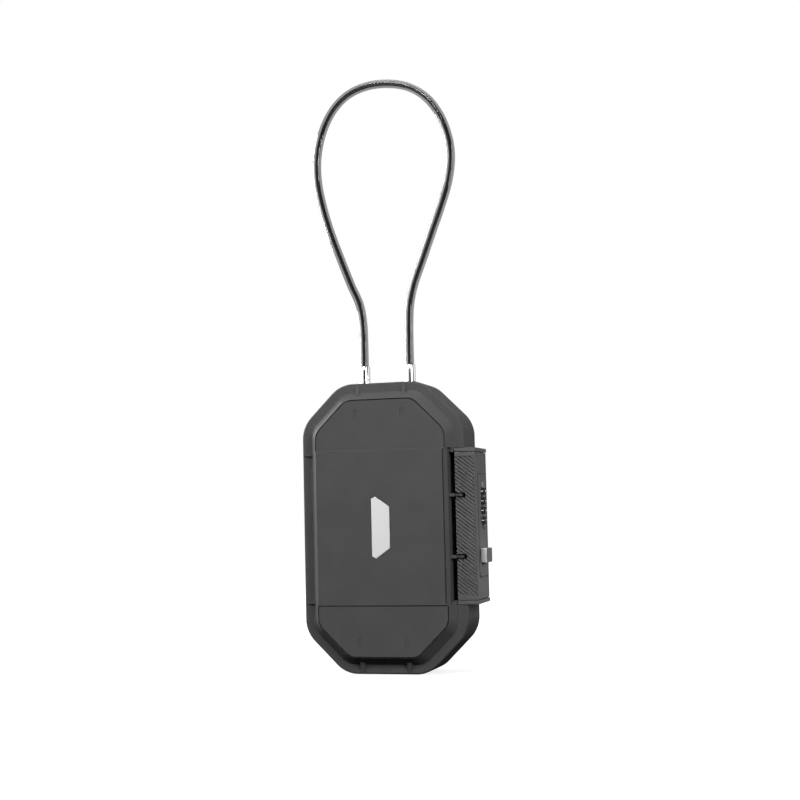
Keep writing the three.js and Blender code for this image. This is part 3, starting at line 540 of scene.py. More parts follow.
def case_half(side):
    """One bare shell: side is -1 for the front and 1 for the rear."""
    slope = ledge_rise / ledge_width
    last = pi / 2 - slope
    rim_y = ledge_y + slope * rim_round * (1 - cos(last)) - rim_round * sin(last)
    rings = [
        octagon_ring(band_inset, edge_chamfer, edge_corner, side * band_y),
        octagon_ring(edge_inset, edge_chamfer, edge_corner, side * panel_y),
        octagon_ring(ledge_width, foot_chamfer, foot_corner, side * foot_y),
    ]
    for share in (1, 0.75, 0.5, 0.25, 0):
        inset = rim_round * (1 - cos(last * share))
        rings.append(outline_ring(inset, side * (rim_y + rim_round * sin(last * share))))
    rings.append(outline_ring(0, side * seam_gap))
    shell = skin_over(rings)
    high = side * (band_y + past)
    for end in (-1, 1):
        lowered = block(
            (-case_half_width, case_half_width),
            (side * panel_y, high),
            (end * band_half, end * case_half_height),
        )
        cut(shell, lowered)

    low = side * (seam_gap - past)
    notch_half = band_half + fit_gap
    floor_y = side * (panel_y - case_wall)
    floor_inset = edge_inset + case_wall / 2
    foot_inset = ledge_width + case_wall
    inner_foot_y = side * (foot_y - case_wall)
    rings = [
        octagon_ring(floor_inset, edge_chamfer, edge_corner - case_wall / 2, floor_y),
        octagon_ring(foot_inset, foot_chamfer, foot_corner - case_wall, inner_foot_y),
        outline_ring(case_wall, side * (ledge_y - case_wall)),
        outline_ring(case_wall, low),
    ]
    hollow = skin_over(rings)
    wall_block = block(
        (notch_x - case_wall, case_half_width),
        (low - side, high),
        (-notch_half - case_wall, notch_half + case_wall),
    )
    cut(hollow, wall_block)
    cut(shell, hollow)
    ease_edges(shell, shell_easing, shell_sharp_turn)
    rise = notch_bevel * bevel_rise / bevel_run
    pocket = [
        (notch_x, low),
        (notch_x, side * (band_y - rise)),
        (notch_x - notch_bevel, side * band_y),
        (notch_x - notch_bevel, high),
        (case_half_width + past, high),
        (case_half_width + past, low),
    ]
    return cut(shell, drawn_out(pocket, -notch_half, notch_half, "Z"))


def notch_line(side):
    """The fine groove along the band's edge, beside the notch."""
    edge = notch_x - notch_bevel - groove_inset
    low, high = side * (band_y - groove_sink), side * (band_y + past)
    half_length = band_half - band_rise
    return block((edge - panel_groove, edge), (low, high), (-half_length, half_length))


def panel_line(side):
    """The fine groove round the panel's edge, above and below the band."""
    floor_y, top_y = panel_y - groove_sink, panel_y + past
    inner = groove_inset + panel_groove
    outer_wall = skin_over([panel_ring(groove_inset, side * y) for y in (floor_y, top_y)])
    inner_wall = skin_over([panel_ring(inner, side * y) for y in (floor_y - past, top_y + past)])
    under_band = block(
        (-case_half_width, case_half_width),
        (side * (panel_y - past), side * (band_y + past)),
        (-band_half - panel_groove, band_half + panel_groove),
    )
    return cut(outer_wall, inner_wall, under_band)


hinge_x = -case_half_width - 3.3
knuckle_radius = 3
knuckle_length = 22
knuckle_gap = 0.4
knuckle_easing = 0.25
knuckle_count = 5
web_inset = 0.05
seam_step = 0.1  # webs and cradles start this far behind the seam face
hinge_bore = 1.8
gusset_x = 20
gusset_side_z = 61.5
gusset_proud = 0.275
gusset_edge = 0.53
gusset_climb = 1.97
gusset_easing = 0.2
end_gusset_widths = (2.5, 4.2)
side_gusset_widths = (1.9, 2.1)
sleeve_way_length = 21
rooted = 0.6  # how deep an added part is rooted in what carries it
end_rib = (60.2, 64.4)
end_rib_depth = (3.5, 2)
end_rib_easing = 0.3
lock_inner = 61.4
hook_z = 25
# Each part of a hook: its reach in X and in Y, half its height and the easing of its edges.
hook_arm = ((56.4, 61.8), (-23.95, -21.15), 1.3, 0.6)
hook_rib = ((56.4, 61.1), (-22.5, -15.35), 1.3, 0.3)
hook_neck = ((60.5, 66.9), (-20.25, -18.45), 0.9, 0)
hook_leg = ((65, 67.3), (-22.35, -12.45), 1.1, 0.25)
barb_x = (65.3, 67)
barb_y = (-14.85, -12.8)
barb_drop = 1.8
barb_tip = 1.2
barb_chamfer = 0.5
dimple_x = 20
dimple_z = 94
dimple_width = 3.3
dimple_length = 7.6
dimple_depth = 0.5
badge_points = [
    (-7.75, -23.6),
    (-4.15, -25.4),
    (7.75, -17),
    (7.75, 17),
    (-4.15, 25.4),
    (-7.75, 23.6),
]
badge_face_y = -30.15
badge_depth = 0.7


def gusset(side, direction, place):
    """A wedge from the bevel out to the rim, wider at its root. The direction is +Z, -Z or -X."""
    reach = case_half_width if direction.x else case_half_height
    climbed_y = foot_y + gusset_climb * bevel_rise / bevel_run + gusset_proud
    rim_at = reach - gusset_edge
    root_at = reach - ledge_width - gusset_climb
    profile = [
        (rim_at, ledge_y - rooted),
        (rim_at, ledge_y + gusset_proud),
        (root_at, climbed_y),
        (root_at, foot_y - rooted),
    ]
    if direction.x:
        wedge = drawn_out([(-out, side * y) for out, y in profile], -1, 1, "Z")
        widths, across, along = side_gusset_widths, 2, 0
    else:
        wedge = drawn_out([(side * y, direction.z * out) for out, y in profile], -1, 1, "X")
        widths, across, along = end_gusset_widths, 0, 2
    for vertex in wedge.data.vertices:
        width = widths[0] if abs(vertex.co[along]) > (rim_at + root_at) / 2 else widths[1]
        vertex.co[across] = place + vertex.co[across] * width / 2
    ease_edges(wedge, gusset_easing)
    return wedge


def gussets(side):
    wedges = [gusset(side, Vector((-1, 0, 0)), z) for z in (-gusset_side_z, gusset_side_z)]
    for end in (-1, 1):
        wedges += [gusset(side, Vector((0, 0, end)), x) for x in (-gusset_x, gusset_x)]
    return wedges


def knuckles(side):
    """The hinge barrels of one half: the rear half has the first, third and fifth."""
    parts = []
    for number in range(0 if side > 0 else 1, knuckle_count, 2):
        low = (number - knuckle_count / 2) * knuckle_length + knuckle_gap / 2
        high = low + knuckle_length - knuckle_gap
        barrel = rod(knuckle_radius, low, high, "Z", (hinge_x, 0), 40)
        ease_edges(barrel, knuckle_easing)
        web = block(
            (hinge_x, -case_half_width + rooted),
            (side * (seam_gap + seam_step), side * knuckle_radius),
            (low + web_inset, high - web_inset),
        )
        parts += [barrel, web]
    return parts


def pin_bore():
    return rod(hinge_bore, -case_half_height, case_half_height, "Z", (hinge_x, 0))


def sleeve_ways():
    """The half-round ways for the cable's sleeves through the top wall."""
    low = case_half_height - sleeve_way_length
    return [
        rod(sleeve_radius + fit_gap, low, case_half_height + past, "Z", (x, 0), 40)
        for x in sleeve_places
    ]


def end_ribs(side):
    """The two ribs that close the notch's ends beside the lock's end caps."""
    y = (side * (ledge_y - end_rib_depth[0]), side * (ledge_y + end_rib_depth[1]))
    x = (notch_x - rooted, lock_inner - fit_gap)
    return [block(x, y, [end * z for z in end_rib], end_rib_easing) for end in (-1, 1)]


def hook(z):
    """One hooked rib, from the front half's notch over to its leg in the lock's window."""
    parts = [
        block(x, y, (z - half, z + half), eased)
        for x, y, half, eased in (hook_arm, hook_rib, hook_neck, hook_leg)
    ]
    root_y, top_y = barb_y
    barb = [
        (top_y, z),
        (root_y, z),
        (root_y, z - barb_drop),
        (root_y + barb_tip, z - barb_drop),
        (top_y, z - barb_drop + barb_chamfer),
    ]
    return [*parts, drawn_out(barb, *barb_x, "X")]


def stadium(centre_a, centre_b, width, length, steps=12):
    """An outline with straight sides and round ends, long in its second direction."""
    radius = width / 2
    straight = length / 2 - radius
    points = []
    for way in (1, -1):
        for step in range(steps + 1):
            turn = pi * step / steps
            a = centre_a + way * radius * cos(turn)
            b = centre_b + way * (straight + radius * sin(turn))
            points.append((a, b))
    return points


def dimples():
    parts = []
    for x in (-dimple_x, dimple_x):
        for z in (-dimple_z, dimple_z):
            outline = stadium(x, z, dimple_width, dimple_length)
            parts.append(drawn_out(outline, -panel_y - past, -panel_y + dimple_depth, "Y"))
    return parts


def grown(points, by):
    """The badge's outline made larger all round for its pocket."""
    return [(x + (by if x > 0 else -by), z + (by if z > 0 else -by)) for x, z in points]


def moulded_plastic(name, colour, roughness, index, grain_size, grain_depth):
    """Moulded plastic with a spark-eroded grain, its size and depth in metres, and faint clouds."""
    material, shader, add_node, link = new_finish(name)
    preset(shader, {"IOR": index})
    place = add_node("TexCoord")
    cloud = add_node("TexNoise", {"Scale": 35, "Detail": 4})
    tint = add_node("ValToRGB")
    tint.color_ramp.elements[0].position = 0.3
    tint.color_ramp.elements[0].color = (*[0.94 * c for c in colour], 1)
    tint.color_ramp.elements[1].position = 0.7
    tint.color_ramp.elements[1].color = (*[1.06 * c for c in colour], 1)
    gloss = add_node("MapRange", {"To Min": roughness - 0.06, "To Max": roughness + 0.06})
    grain = add_node("TexNoise", {"Scale": 1 / grain_size, "Detail": 2})
    bump = add_node("Bump", {"Strength": 0.35, "Distance": grain_depth})
    link(place, "Object", cloud, "Vector")
    link(place, "Object", grain, "Vector")
    link(cloud, "Fac", tint, "Fac")
    link(tint, "Color", shader, "Base Color")
    link(grain, "Fac", gloss, "Value")
    link(gloss, "Result", shader, "Roughness")
    link(grain, "Fac", bump, "Height")
    link(bump, "Normal", shader, "Normal")
    return material


case_grey = (0.075, 0.075, 0.077)
case_plastic = moulded_plastic("case_plastic", case_grey, 0.55, 1.12, 0.0004, 0.00004)

front = case_half(-1)
add(front, *gussets(-1), *knuckles(-1), *end_ribs(-1), *hook(-hook_z), *hook(hook_z))
badge_pocket = drawn_out(
    grown(badge_points, fit_gap), -band_y - past, badge_face_y + badge_depth + fit_gap, "Y"
)
cut(front, panel_line(-1), notch_line(-1), pin_bore(), *sleeve_ways(), *dimples(), badge_pocket)
shade(front, 30)
settle(front, "front_case_half", "lid", "shell", case_plastic, "front_shell")

cradle_half = 10.9
cradle_depth = 8
cradle_height = 16.4
cradle_easing = 0.3
clamp_z = 105.4
clamp_screw_x = 8.5
shank_hole = 1.6
screw_places = [(y, z) for y in (5.5, 15) for z in (-52, 52)]
lever_place = (9, -10)
lever_bore = 2.7

rear = case_half(1)
cradle_top = case_half_height - case_wall + rooted
cradle_low = case_half_height - case_wall - cradle_height
cradles = [
    block(
        (x - cradle_half, x + cradle_half),
        (seam_gap + seam_step, cradle_depth),
        (cradle_low, cradle_top),
        cradle_easing,
    )
    for x in sleeve_places
]
add(rear, *gussets(1), *knuckles(1), *cradles)
collar_way = (collar_top - collar_height - fit_gap, collar_top + fit_gap)
collar_ways = [
    rod(collar_radius + fit_gap, *collar_way, "Z", (x, 0), 40) for x in sleeve_places
]
clamp_holes = [
    rod(shank_hole, -past, cradle_depth - case_wall / 2, "Y", (x, clamp_z), 16)
    for x in (-sleeve_x - clamp_screw_x, -sleeve_x + clamp_screw_x)
]
wall_x = (notch_x - case_wall - past, notch_x + past)
screw_holes = [rod(shank_hole, *wall_x, "X", place, 16) for place in screw_places]
lever_hole = rod(lever_bore, *wall_x, "X", lever_place, 24)
cut(
    rear,
    panel_line(1),
    notch_line(1),
    pin_bore(),
    *sleeve_ways(),
    *collar_ways,
    *clamp_holes,
    *screw_holes,
    lever_hole,
)
shade(rear, 30)
settle(rear, "rear_case_half", "base", "shell", case_plastic, "rear_shell")


# Badge plate
# A bare stamped plate of satin aluminium with rounded edges, pressed into a pocket in the
# front band. It is long on the hinge's side and short on the lock's.

badge_metal = satin_metal("badge_aluminium", (0.75, 0.75, 0.76), 0.36, 0.0003)
badge = drawn_out(badge_points, badge_face_y, badge_face_y + badge_depth, "Y")
ease_edges(badge, width=0.3, segments=3)
shade(badge)
settle(badge, "badge_plate_satin", "lid", "badge", badge_metal, "badge_plate")


# Foam liners
# Closed-cell foam sheet glued to the floor of each half, die cut to the panel's shape, with
# its upper edge crushed round by the cutter.

foam_gap = 0.3
foam_thickness = 4
foam_crown = 0.25
foam_edge = 1.4
foam_flat = 12
foam_flat_corner = 6


def closed_cell_foam():
    material, shader, add_node, link = new_finish("closed_cell_foam")
    preset(shader, {"Roughness": 0.92, "IOR": 1.2})
    place = add_node("TexCoord")
    cells = add_node("TexVoronoi", {"Scale": 1400})
    tint = add_node("ValToRGB")
    tint.color_ramp.elements[0].color = (0.014, 0.014, 0.014, 1)
    tint.color_ramp.elements[1].color = (0.028, 0.028, 0.029, 1)
    bump = add_node("Bump", {"Strength": 0.5, "Distance": 0.0001})
    link(place, "Object", cells, "Vector")
    link(cells, "Distance", tint, "Fac")
    link(tint, "Color", shader, "Base Color")
    link(cells, "Distance", bump, "Height")
    link(bump, "Normal", shader, "Normal")
    return material


foam_material = closed_cell_foam()
foam_inset = edge_inset + case_wall / 2 + foam_gap
foam_back = panel_y - case_wall - foam_gap
foam_face = foam_back - foam_thickness
foam_lines = [(0, 0, foam_back)]
for turn in (0, 30, 60, 90):
    drawn_in = foam_edge * (1 - cos(radians(turn)))
    level = foam_face + foam_crown + foam_edge * (1 - sin(radians(turn)))
    foam_lines.append((drawn_in, drawn_in, level))
foam_lines.append((foam_flat, edge_corner - foam_flat_corner, foam_face))
for side, half, body in ((-1, "front", "lid"), (1, "rear", "base")):
    rings = [
        octagon_ring(foam_inset + drawn_in, edge_chamfer, edge_corner - tighter, side * level)
        for drawn_in, tighter, level in foam_lines
    ]
    liner = skin_over(rings)
    shade(liner, 60)
    settle(liner, f"{half}_foam_sheet", body, "foam", foam_material, f"{half}_foam_liner")


# Hinge pin
# A turned and zinc-plated steel pin with chamfered ends, pushed through the five knuckles on
# the case's left side.

zinc_steel = satin_metal("zinc_steel", (0.6, 0.6, 0.61), 0.32, 0.0005)
pin_radius = 1.5
pin_half = 55.3
pin_chamfer = 0.4
pin_profile = [
    (0, -pin_half),
    (pin_radius - pin_chamfer, -pin_half),
    (pin_radius, -pin_half + pin_chamfer),
    (pin_radius, pin_half - pin_chamfer),
    (pin_radius - pin_chamfer, pin_half),
    (0, pin_half),
]
pin = turned(pin_profile, hinge_x * along_x, along_z, 32)
settle(pin, "hinge_rod", "base", "steel", zinc_steel, "hinge_pin")


# Lock housing
# A C-shaped moulding of grey plastic screwed to the rear half. Its front face has a sunk
# panel of diagonal grooves, with a window for each hook, and its side carries the cover.

lock_outer = 78.5
lock_half = 60
lock_wall = 2.4
housing_x = 63.7
lock_inside_x = lock_outer - lock_wall
lock_inside_y = lock_face_y + lock_wall
hatch_half = 56.6
hatch_outer = 78
hatch_depth = 0.4
hatch_side_border = 0.6
hatch_end_border = 0.5
groove_pitch = 3.1
groove_fall = 0.76
groove_width = 1.7
groove_depth = 1.1
window_outer = 69.7
window_half = 2.1
cover_front = -14.35
cover_rear = 17
cover_half = 42.4
cover_corner = 2.4
cover_skin = 1.3
cover_lip = 1.4
screw_head = 2.8


def cover_outline(inset, front_gap=0):
    front_edge = cover_front + inset + front_gap
    rear_edge = cover_rear - inset
    top = cover_half - inset
    return [
        (front_edge, top - cover_corner),
        (front_edge + cover_corner, top),
        (rear_edge, top),
        (rear_edge, -top),
        (front_edge + cover_corner, -top),
        (front_edge, cover_corner - top),
    ]


lock_grey = (0.11, 0.11, 0.112)
lock_plastic = moulded_plastic("lock_plastic", lock_grey, 0.48, 1.2, 0.0003, 0.00002)

full_length = (-lock_half - past, lock_half + past)
boss_x = (housing_x, lock_inside_x + rooted)
screw_bore_x = (housing_x - past, lock_inside_x - lock_wall)
hatch_floor = lock_face_y + hatch_depth

housing = block((lock_inner, lock_outer), (lock_face_y, ledge_y), (-lock_half, lock_half))
ease_edges(housing, width=0.55)
cut(
    housing,
    block((lock_inner - past, housing_x), (lock_inside_y, ledge_y + past), full_length),
    block((housing_x - past, lock_inside_x), (lock_inside_y, ledge_y - lock_wall), full_length),
)
add(housing, *[rod(screw_head + fit_gap, *boss_x, "X", place, 24) for place in screw_places])
cut(housing, *[rod(shank_hole, *screw_bore_x, "X", place, 16) for place in screw_places])
cut(
    housing,
    block(
        (lock_inner - past, hatch_outer),
        (lock_face_y - past, hatch_floor),
        (-hatch_half, hatch_half),
    ),
)
grooves = []
middle = (lock_inner + hatch_outer) / 2
run = hatch_outer - lock_inner + 2 * past
count = int((2 * hatch_half + run * groove_fall) / groove_pitch)
for number in range(count):
    z = (number - (count - 1) / 2) * groove_pitch
    groove = drawn_out(
        [
            (hatch_floor + groove_depth, z),
            (hatch_floor - groove_depth, z - groove_width),
            (hatch_floor - groove_depth, z + groove_width),
        ],
        middle - run / 2,
        middle + run / 2,
        "X",
    )
    for vertex in groove.data.vertices:
        vertex.co.z -= (vertex.co.x - middle) * groove_fall
    grooves.append(groove)
grooved = block(
    (lock_inner - past, hatch_outer - hatch_side_border),
    (hatch_floor - groove_depth / 2, hatch_floor + past),
    (-hatch_half + hatch_end_border, hatch_half - hatch_end_border),
)
cut(housing, combine(joined(grooves), "INTERSECT", [grooved]))
windows = [
    block(
        (lock_inner - past, window_outer),
        (lock_face_y - past, lock_inside_y + past),
        (z - window_half, z + window_half),
    )
    for z in (-hook_z, hook_z)
]
cut(
    housing,
    *windows,
    drawn_out(cover_outline(0), lock_outer - cover_skin - fit_gap, lock_outer + past, "X"),
    block(
        (lock_inside_x - past, lock_outer),
        (cover_front + cover_lip, cover_rear - cover_lip),
        (-cover_half + cover_lip, cover_half - cover_lip),
    ),
)
shade(housing, 30)
settle(housing, "lock_housing_ribbed", "base", "lock_body", lock_plastic, "lock_housing")


# Lock end caps
# Plain moulded caps of the housing's grey plastic. They plug into its two ends, stand a little
# proud of it and close the notch behind with a tongue.

step_x = notch_x + fit_gap
cap_proud = 0.5
cap_thickness = 3.2
cap_x = (lock_inner, lock_outer + cap_proud)
tongue_y = (0.45, ledge_y)
for end, name in ((1, "upper"), (-1, "lower")):
    base = lock_half + fit_gap
    levels = (end * base, end * (base + cap_thickness))
    cap = block(cap_x, (lock_face_y - cap_proud, ledge_y), levels, eased=0.5)
    tongue = block((step_x, lock_inner + rooted), tongue_y, levels, eased=0.3)
    plug = block(
        (housing_x + fit_gap, lock_inside_x - fit_gap),
        (lock_inside_y + fit_gap, ledge_y - lock_wall - fit_gap),
        (end * (base - lock_wall / 2), end * (base + rooted)),
    )
    add(cap, tongue, plug)
    shade(cap, 30)
    settle(cap, f"lock_cap_{name}", "base", "lock_body", lock_plastic, f"lock_end_cap_{name}")


# Lock cover
# A moulded plate set flush in the housing's side, with a polished scoop round the four slots
# that the dials stand out of, and a long slot for the slide button's stem.

dial_x = 71.8
dial_y = 6.2
dial_z = 15.9
dial_axis = (dial_x, dial_y)
dial_pitch = 8
dial_radius = 9.5
dial_thickness = 5.4
dial_places = [dial_z + dial_pitch * (1.5 - k) for k in range(4)]
stack_half = 16
cam_radius = 4.5
scoop_width = 16
scoop_length = 42
scoop_depth = 0.8
dish_shares = (1.1, 1, 0.85, 0.7, 0.5, 0.3, 0.1)
shadow_gap = 2.4
face_margin = 0.02
cover_back = 75.2
slide_z = -24.6
slide_height = 11.7
slide_travel = 8
stem_height = 5
stem_length = 7.2
stem_z = slide_z + (slide_height - stem_height) / 2 - fit_gap

cover = drawn_out(cover_outline(fit_gap, shadow_gap), lock_outer - cover_skin, lock_outer, "X")
ease_edges(cover, width=0.25)
add(
    cover,
    block(
        (cover_back, lock_outer - cover_skin + fit_gap),
        (cover_front + shadow_gap + fit_gap, cover_rear - cover_lip - fit_gap),
        (-cover_half + cover_lip + fit_gap, cover_half - cover_lip - fit_gap),
    ),
)
dish_rings = []
for share in dish_shares:
    level = lock_outer - scoop_depth * (1 - share**2)
    width = scoop_width * share
    outline = stadium(dial_y, dial_z, width, scoop_length - scoop_width + width)
    select_none()
    bpy.ops.mesh.primitive_circle_add(vertices=len(outline), fill_type="NOTHING")
    ring = bpy.context.object
    for vertex, (y, z) in zip(ring.data.vertices, outline):
        vertex.co = (level, y, z)
    dish_rings.append(ring)
stack_reach = stack_half + fit_gap
cam_way = rod(cam_radius + fit_gap, dial_z - stack_reach, dial_z + stack_reach, "Z", dial_axis)
stem_way = block(
    (cover_back - past, lock_outer + past),
    (-stem_length / 2 - fit_gap, stem_length / 2 + fit_gap),
    (stem_z - stem_height / 2 - slide_travel - fit_gap, stem_z + stem_height / 2 + fit_gap),
)
slot_half = dial_thickness / 2 + fit_gap
dial_slots = [
    rod(dial_radius + fit_gap, z - slot_half, z + slot_half, "Z", dial_axis, 48)
    for z in dial_places
]
cut(cover, skin_over(dish_rings), cam_way, stem_way, *dial_slots)
shade(cover, 12)
settle(cover, "lock_side_cover", "base", "lock_body", lock_plastic, "lock_cover")
polished_dish = moulded_plastic("polished_dish", lock_grey, 0.25, 1.35, 0.0003, 0.000002)
cover.data.materials.append(polished_dish)
scoop_middle = Vector((lock_outer - face_margin - scoop_depth / 2, dial_y, dial_z))
scoop_half = Vector((scoop_depth, scoop_width, scoop_length)) / 2
dish_low, dish_high = to_frame @ (scoop_middle - scoop_half), to_frame @ (scoop_middle + scoop_half)
for face in cover.data.polygons:
    in_dish = all(low < at < high for low, at, high in zip(dish_low, face.center, dish_high))
    if in_dish and face.normal.x > 0.5:
        face.material_index = 1


# Number dials
# Four moulded black rings, each with ten flats numbered 0 to 9 in white, to be read with the
# case on its back, and a ridge between every two for the thumb.

flat_radius = 8.9
flat_share = 0.32
ridge_share = 0.4
number_height = 3
capital_share = 0.7  # a capital's height in a letter of size 1
number_weight = 0.1
number_thickness = 0.1

dial_black = (0.015, 0.015, 0.016)
number_white = (0.8, 0.8, 0.79)
dial_plastic = moulded_plastic("dial_plastic", dial_black, 0.38, 1.22, 0.0003, 0.00001)
number_paint = moulded_plastic("number_paint", number_white, 0.5, 1.4, 0.0003, 0.00001)

ring_points = []
flat_end = flat_radius / cos(2 * pi * flat_share / 10)
for number in range(10):
    for share, radius in (
        (-flat_share, flat_end),
        (flat_share, flat_end),
        (ridge_share, dial_radius),
        (0.5, dial_radius),
        (1 - ridge_share, dial_radius),
    ):
        turn = 2 * pi * (number + share) / 10
        ring_points.append((radius * cos(turn), radius * sin(turn)))
dial_blank = drawn_out(ring_points, -dial_thickness / 2, dial_thickness / 2, "Z")
ease_edges(dial_blank, width=0.3, angle=25)
cut(dial_blank, rod(cam_radius + fit_gap, -dial_thickness, dial_thickness, "Z", (0, 0)))
shade(dial_blank, 30)

numbers = []
for number in range(10):
    turn = 2 * pi * (number - 2) / 10
    select_none()
    bpy.ops.object.text_add(rotation=(pi, -pi / 2, turn))
    figure = bpy.context.object
    figure.data.body = str(number)
    figure.data.align_x = "CENTER"
    figure.data.align_y = "CENTER"
    figure.data.size = number_height / capital_share
    figure.data.offset = number_weight
    figure.data.extrude = number_thickness
    figure.location = (flat_radius * cos(turn), flat_radius * sin(turn), 0)
    bpy.ops.object.convert(target="MESH")
    bpy.ops.object.transform_apply(location=True, rotation=True, scale=True)
    numbers.append(bpy.context.object)
number_blank = joined(numbers)


def copy_of(piece, move):
    """A copy with its own mesh, moved in millimetres."""
    made = piece.copy()
    made.data = piece.data.copy()
    bpy.context.collection.objects.link(made)
    made.data.transform(Matrix.Translation(move))
    return made


for number, z in enumerate(dial_places, 1):
    move = Vector((dial_x, dial_y, z))
    body = f"dial_{number}"
    ring = copy_of(dial_blank, move)
    settle(ring, f"dial_ring_{number}", body, "dial", dial_plastic, f"number_{body}")
    figures = copy_of(number_blank, move)
    settle(figures, f"dial_numbers_{number}", body, "dial", number_paint)
bpy.data.objects.remove(dial_blank)
bpy.data.objects.remove(number_blank)


# Slide button
# A die-cast and satin-plated thumb piece with a dark pad on its outer face, on a stem through
# the cover's slot. Pulling it down moves the latch.

slide_rise = 5.6
slide_length = 20.4
slide_face = lock_outer + fit_gap
slide_easing = 0.7
slide_screw_bore = 1.3

slide_metal = satin_metal("slide_plating", (0.68, 0.68, 0.69), 0.45, 0.0004)
button = block(
    (slide_face, lock_outer + slide_rise),
    (-slide_length / 2, slide_length / 2),
    (slide_z - slide_height / 2, slide_z + slide_height / 2),
    slide_easing,
)
add(
    button,
    block(
        (cover_back, slide_face + rooted),
        (-stem_length / 2, stem_length / 2),
        (stem_z - stem_height / 2, stem_z + stem_height / 2),
    ),
)
cut(button, rod(slide_screw_bore, cover_back - past, lock_outer, "X", (0, stem_z), 20))
shade(button, 30)
settle(button, "slide_thumb_piece", "latch", "slide", slide_metal, "slide_button")
button.data.materials.append(lock_plastic)
for face in button.data.polygons:
    if face.normal.x > 0.9:
        face.material_index = 1


# Screws
# Small pan-headed, cross-recessed screws of zinc-plated steel: four hold the lock to the rear
# half and two hold the cable's clamp.

head_height = 1.6
clamp_screw_head = 1.8
clamp_face_y = -2.05


def cross_screw(head_radius, shank_radius, length, axis):
    """A screw with its head's underside at the origin and its shank along the axis."""
    profile = [
        (0, -head_height),
        (head_radius * 0.55, -head_height),
        (head_radius * 0.88, -head_height * 0.72),
        (head_radius, -head_height * 0.3),
        (head_radius, 0),
        (shank_radius, 0),
        (shank_radius, length - shank_radius * 0.6),
        (shank_radius * 0.4, length),
        (0, length),
    ]
    screw = turned(profile, Vector(), axis, 32)
    arm = head_radius * 0.55
    thick = head_radius * 0.14
    deep = (-head_height - 1, -head_height * 0.4)
    for flat, tall in ((arm, thick), (thick, arm)):
        sides = ((-flat, flat), (-tall, tall))
        cut(screw, block(deep, *sides) if axis.x else block(sides[0], deep, sides[1]))
    shade(screw, 28)
    return screw


def put_screw(master, node, axis, underside):
    low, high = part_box(node)
    move = to_frame.inverted() @ ((low + high) / 2)
    move["xy".index(axis)] = underside
    settle(copy_of(master, move), f"{node}_cross", "base", "steel", zinc_steel, node)


case_screw = cross_screw(screw_head, shank_radius=1.3, length=13, axis=along_x)
for number in range(1, 5):
    node = f"case_screw_{number}"
    head_side = (to_frame.inverted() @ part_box(node)[0]).x + head_height
    put_screw(case_screw, node, "x", head_side)
clamp_screw = cross_screw(clamp_screw_head, shank_radius=1, length=7.4, axis=along_y)
for number in range(1, 3):
    put_screw(clamp_screw, f"clamp_screw_{number}", "y", clamp_face_y)
bpy.data.objects.remove(case_screw)
bpy.data.objects.remove(clamp_screw)


# Working parts
# Stamped and turned steel, turned brass and moulded plastic inside the lock, and the sprung
# steel clamp on the cable's left sleeve. Their shapes are the frame's own.

spring_steel = satin_metal("spring_steel", (0.45, 0.45, 0.46), 0.28, 0.0004)
turned_brass = satin_metal("turned_brass", (0.6, 0.45, 0.18), 0.3, 0.0004)
finishes = (
    (lock_plastic, ["lock_chassis"]),
    (zinc_steel, ["latch_plate", "latch_pin_1", "latch_pin_2", "locking_spindle", "slide_screw"]),
    (dial_plastic, ["slide_carrier", "reset_lever"]),
    (spring_steel, ["latch_spring", "detent_spring", "cable_clamp"]),
    (turned_brass, [f"code_cam_{number}" for number in range(1, 5)]),
)
for material, nodes in finishes:
    for node in nodes:
        for finish_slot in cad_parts[node].material_slots:
            finish_slot.material = material


# Studio
# A pale floor, a white surround and soft lamps. Four black cards stand round the object and
# one lies under it, and they show only as dark streaks in what is polished or clear.

floor_size = 12
bpy.ops.mesh.primitive_plane_add(size=floor_size, location=(0, 0, 0))
floor = bpy.context.object
floor.name = "studio_floor"

card_distance = 1.6
card_height = 1.7
card_foot = 0.1
card_turns = ((12, 24), (70, 27), (-140, 26), (175, 25))  # degrees: each one's place, half spread
floor_card_size = 0.9
floor_card_level = 0.001


def dull_black():
    material, shader, add_node, link = new_finish("dull_black")
    preset(shader, {"Base Color": (0.01, 0.01, 0.01, 1), "Specular IOR Level": 0})
    return material


def black_card(name, size, place, turn=(0, 0, 0)):
    """A card that only glossy reflections see."""
    bpy.ops.mesh.primitive_plane_add(size=1, location=place, rotation=turn)
    card = bpy.context.object
    card.name = name
    card.scale = (*size, 1)
    bpy.ops.object.transform_apply(location=True, rotation=True, scale=True)
    for rays in ("camera", "diffuse", "transmission", "shadow"):
        setattr(card, f"visible_{rays}", False)
    card.data.materials.append(card_black)


card_black = dull_black()
for turn, half_spread in card_turns:
    turn = radians(turn)
    spread = 2 * card_distance * tan(radians(half_spread))
    place = (card_distance * sin(turn), -card_distance * cos(turn), card_height / 2 + card_foot)
    black_card("black_card", (spread, card_height), place, (pi / 2, 0, turn))
black_card("floor_card", (floor_card_size, floor_card_size), (0, 0, floor_card_level))


def seen_rays(add_node, link):
    """A node that is 1 for a ray from the camera, or one sent on by gloss or glass."""
    path = add_node("LightPath")
    seen, out = path, "Is Camera Ray"
    for kind in ("Is Glossy Ray", "Is Transmission Ray"):
        either = add_node("Math")
        either.operation = "MAXIMUM"
        link(seen, out, either, 0)
        link(path, kind, either, 1)
        seen, out = either, "Value"
    return seen


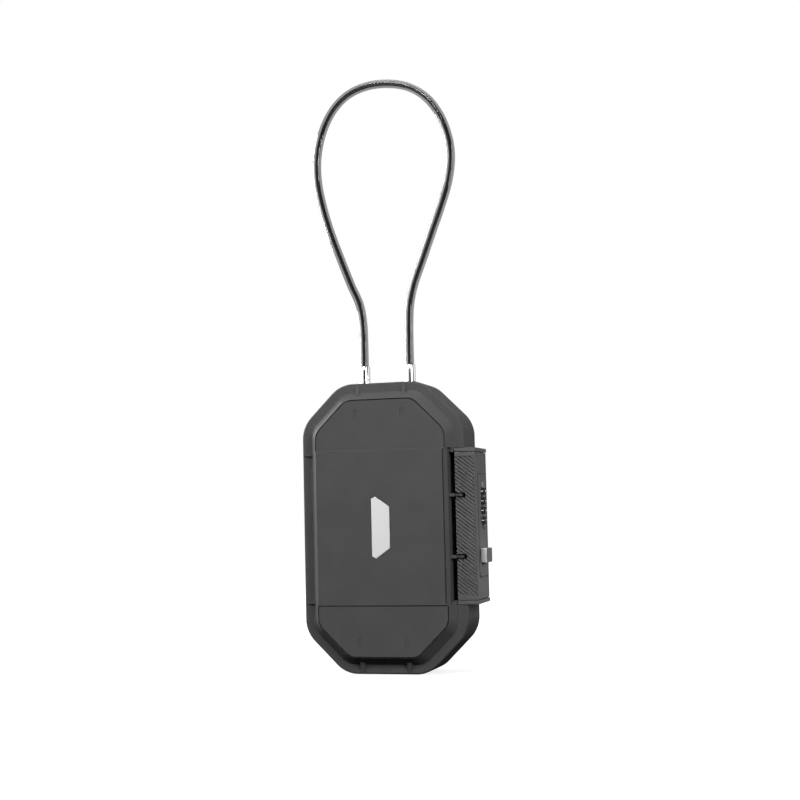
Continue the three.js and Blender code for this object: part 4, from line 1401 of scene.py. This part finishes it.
def pale_floor():
    material, shader, add_node, link = new_finish("pale_floor")
    material.node_tree.nodes.remove(shader)
    seen = add_node("BsdfDiffuse", {"Color": (0.25, 0.25, 0.25, 1)})
    glow = add_node("Emission")
    place = add_node("TexCoord")
    reach = add_node("VectorMath")
    reach.operation = "LENGTH"
    fade = add_node("MapRange", {"From Min": 0.3, "From Max": 2, "To Min": 0.82, "To Max": 1})
    link(place, "Object", reach, "Vector")
    link(reach, "Value", fade, "Value")
    link(fade, "Result", glow, "Strength")
    both = add_node("AddShader")
    unseen = add_node("BsdfDiffuse", {"Color": (0.02, 0.02, 0.02, 1)})
    choice = add_node("MixShader")
    link(seen, "BSDF", both, 0)
    link(glow, "Emission", both, 1)
    link(seen_rays(add_node, link), "Value", choice, "Fac")
    link(unseen, "BSDF", choice, 1)
    link(both, "Shader", choice, 2)
    link(choice, "Shader", material.node_tree.nodes["Material Output"], "Surface")
    return material


floor.data.materials.append(pale_floor())

world = bpy.data.worlds.new("white_surround")
bpy.context.scene.world = world
world.use_nodes = True
add_node, link = node_tools(world.node_tree)
soft = world.node_tree.nodes["Background"]
preset(soft, {"Color": (1, 1, 1, 1), "Strength": 0.02})
white = add_node("Background", {"Color": (1, 1, 1, 1)})
choice = add_node("MixShader")
link(seen_rays(add_node, link), "Value", choice, "Fac")
link(soft, "Background", choice, 1)
link(white, "Background", choice, 2)
link(choice, "Shader", world.node_tree.nodes["World Output"], "Surface")


lamp_aim = Vector((0, 0, 0.12))


def softbox(name, place, width, height, power):
    bpy.ops.object.light_add(type="AREA", location=place)
    lamp = bpy.context.object
    lamp.name = name
    lamp.rotation_euler = (Vector(place) - lamp_aim).to_track_quat("Z", "Y").to_euler()
    lamp.data.shape = "RECTANGLE"
    lamp.data.size = width
    lamp.data.size_y = height
    lamp.data.energy = power
    lamp.visible_transmission = False
    return lamp


softbox("key_lamp", (-0.1, -1.1, 1.12), width=0.6, height=0.4, power=14)
softbox("overhead_lamp", (0, -0.1, 1.4), width=0.9, height=0.6, power=4)
softbox("left_back_lamp", (-1.2, 0.45, 0.65), width=0.5, height=0.7, power=28)
softbox("left_front_lamp", (-1.25, -0.7, 0.6), width=0.4, height=0.5, power=7)
softbox("right_lamp", (1, -0.8, 0.6), width=0.3, height=0.6, power=11)
back_lamp = softbox("back_lamp", (0.2, 1.6, 1), width=0.8, height=0.6, power=14)
back_lamp.visible_glossy = False

bpy.context.scene.view_settings.view_transform = "Standard"
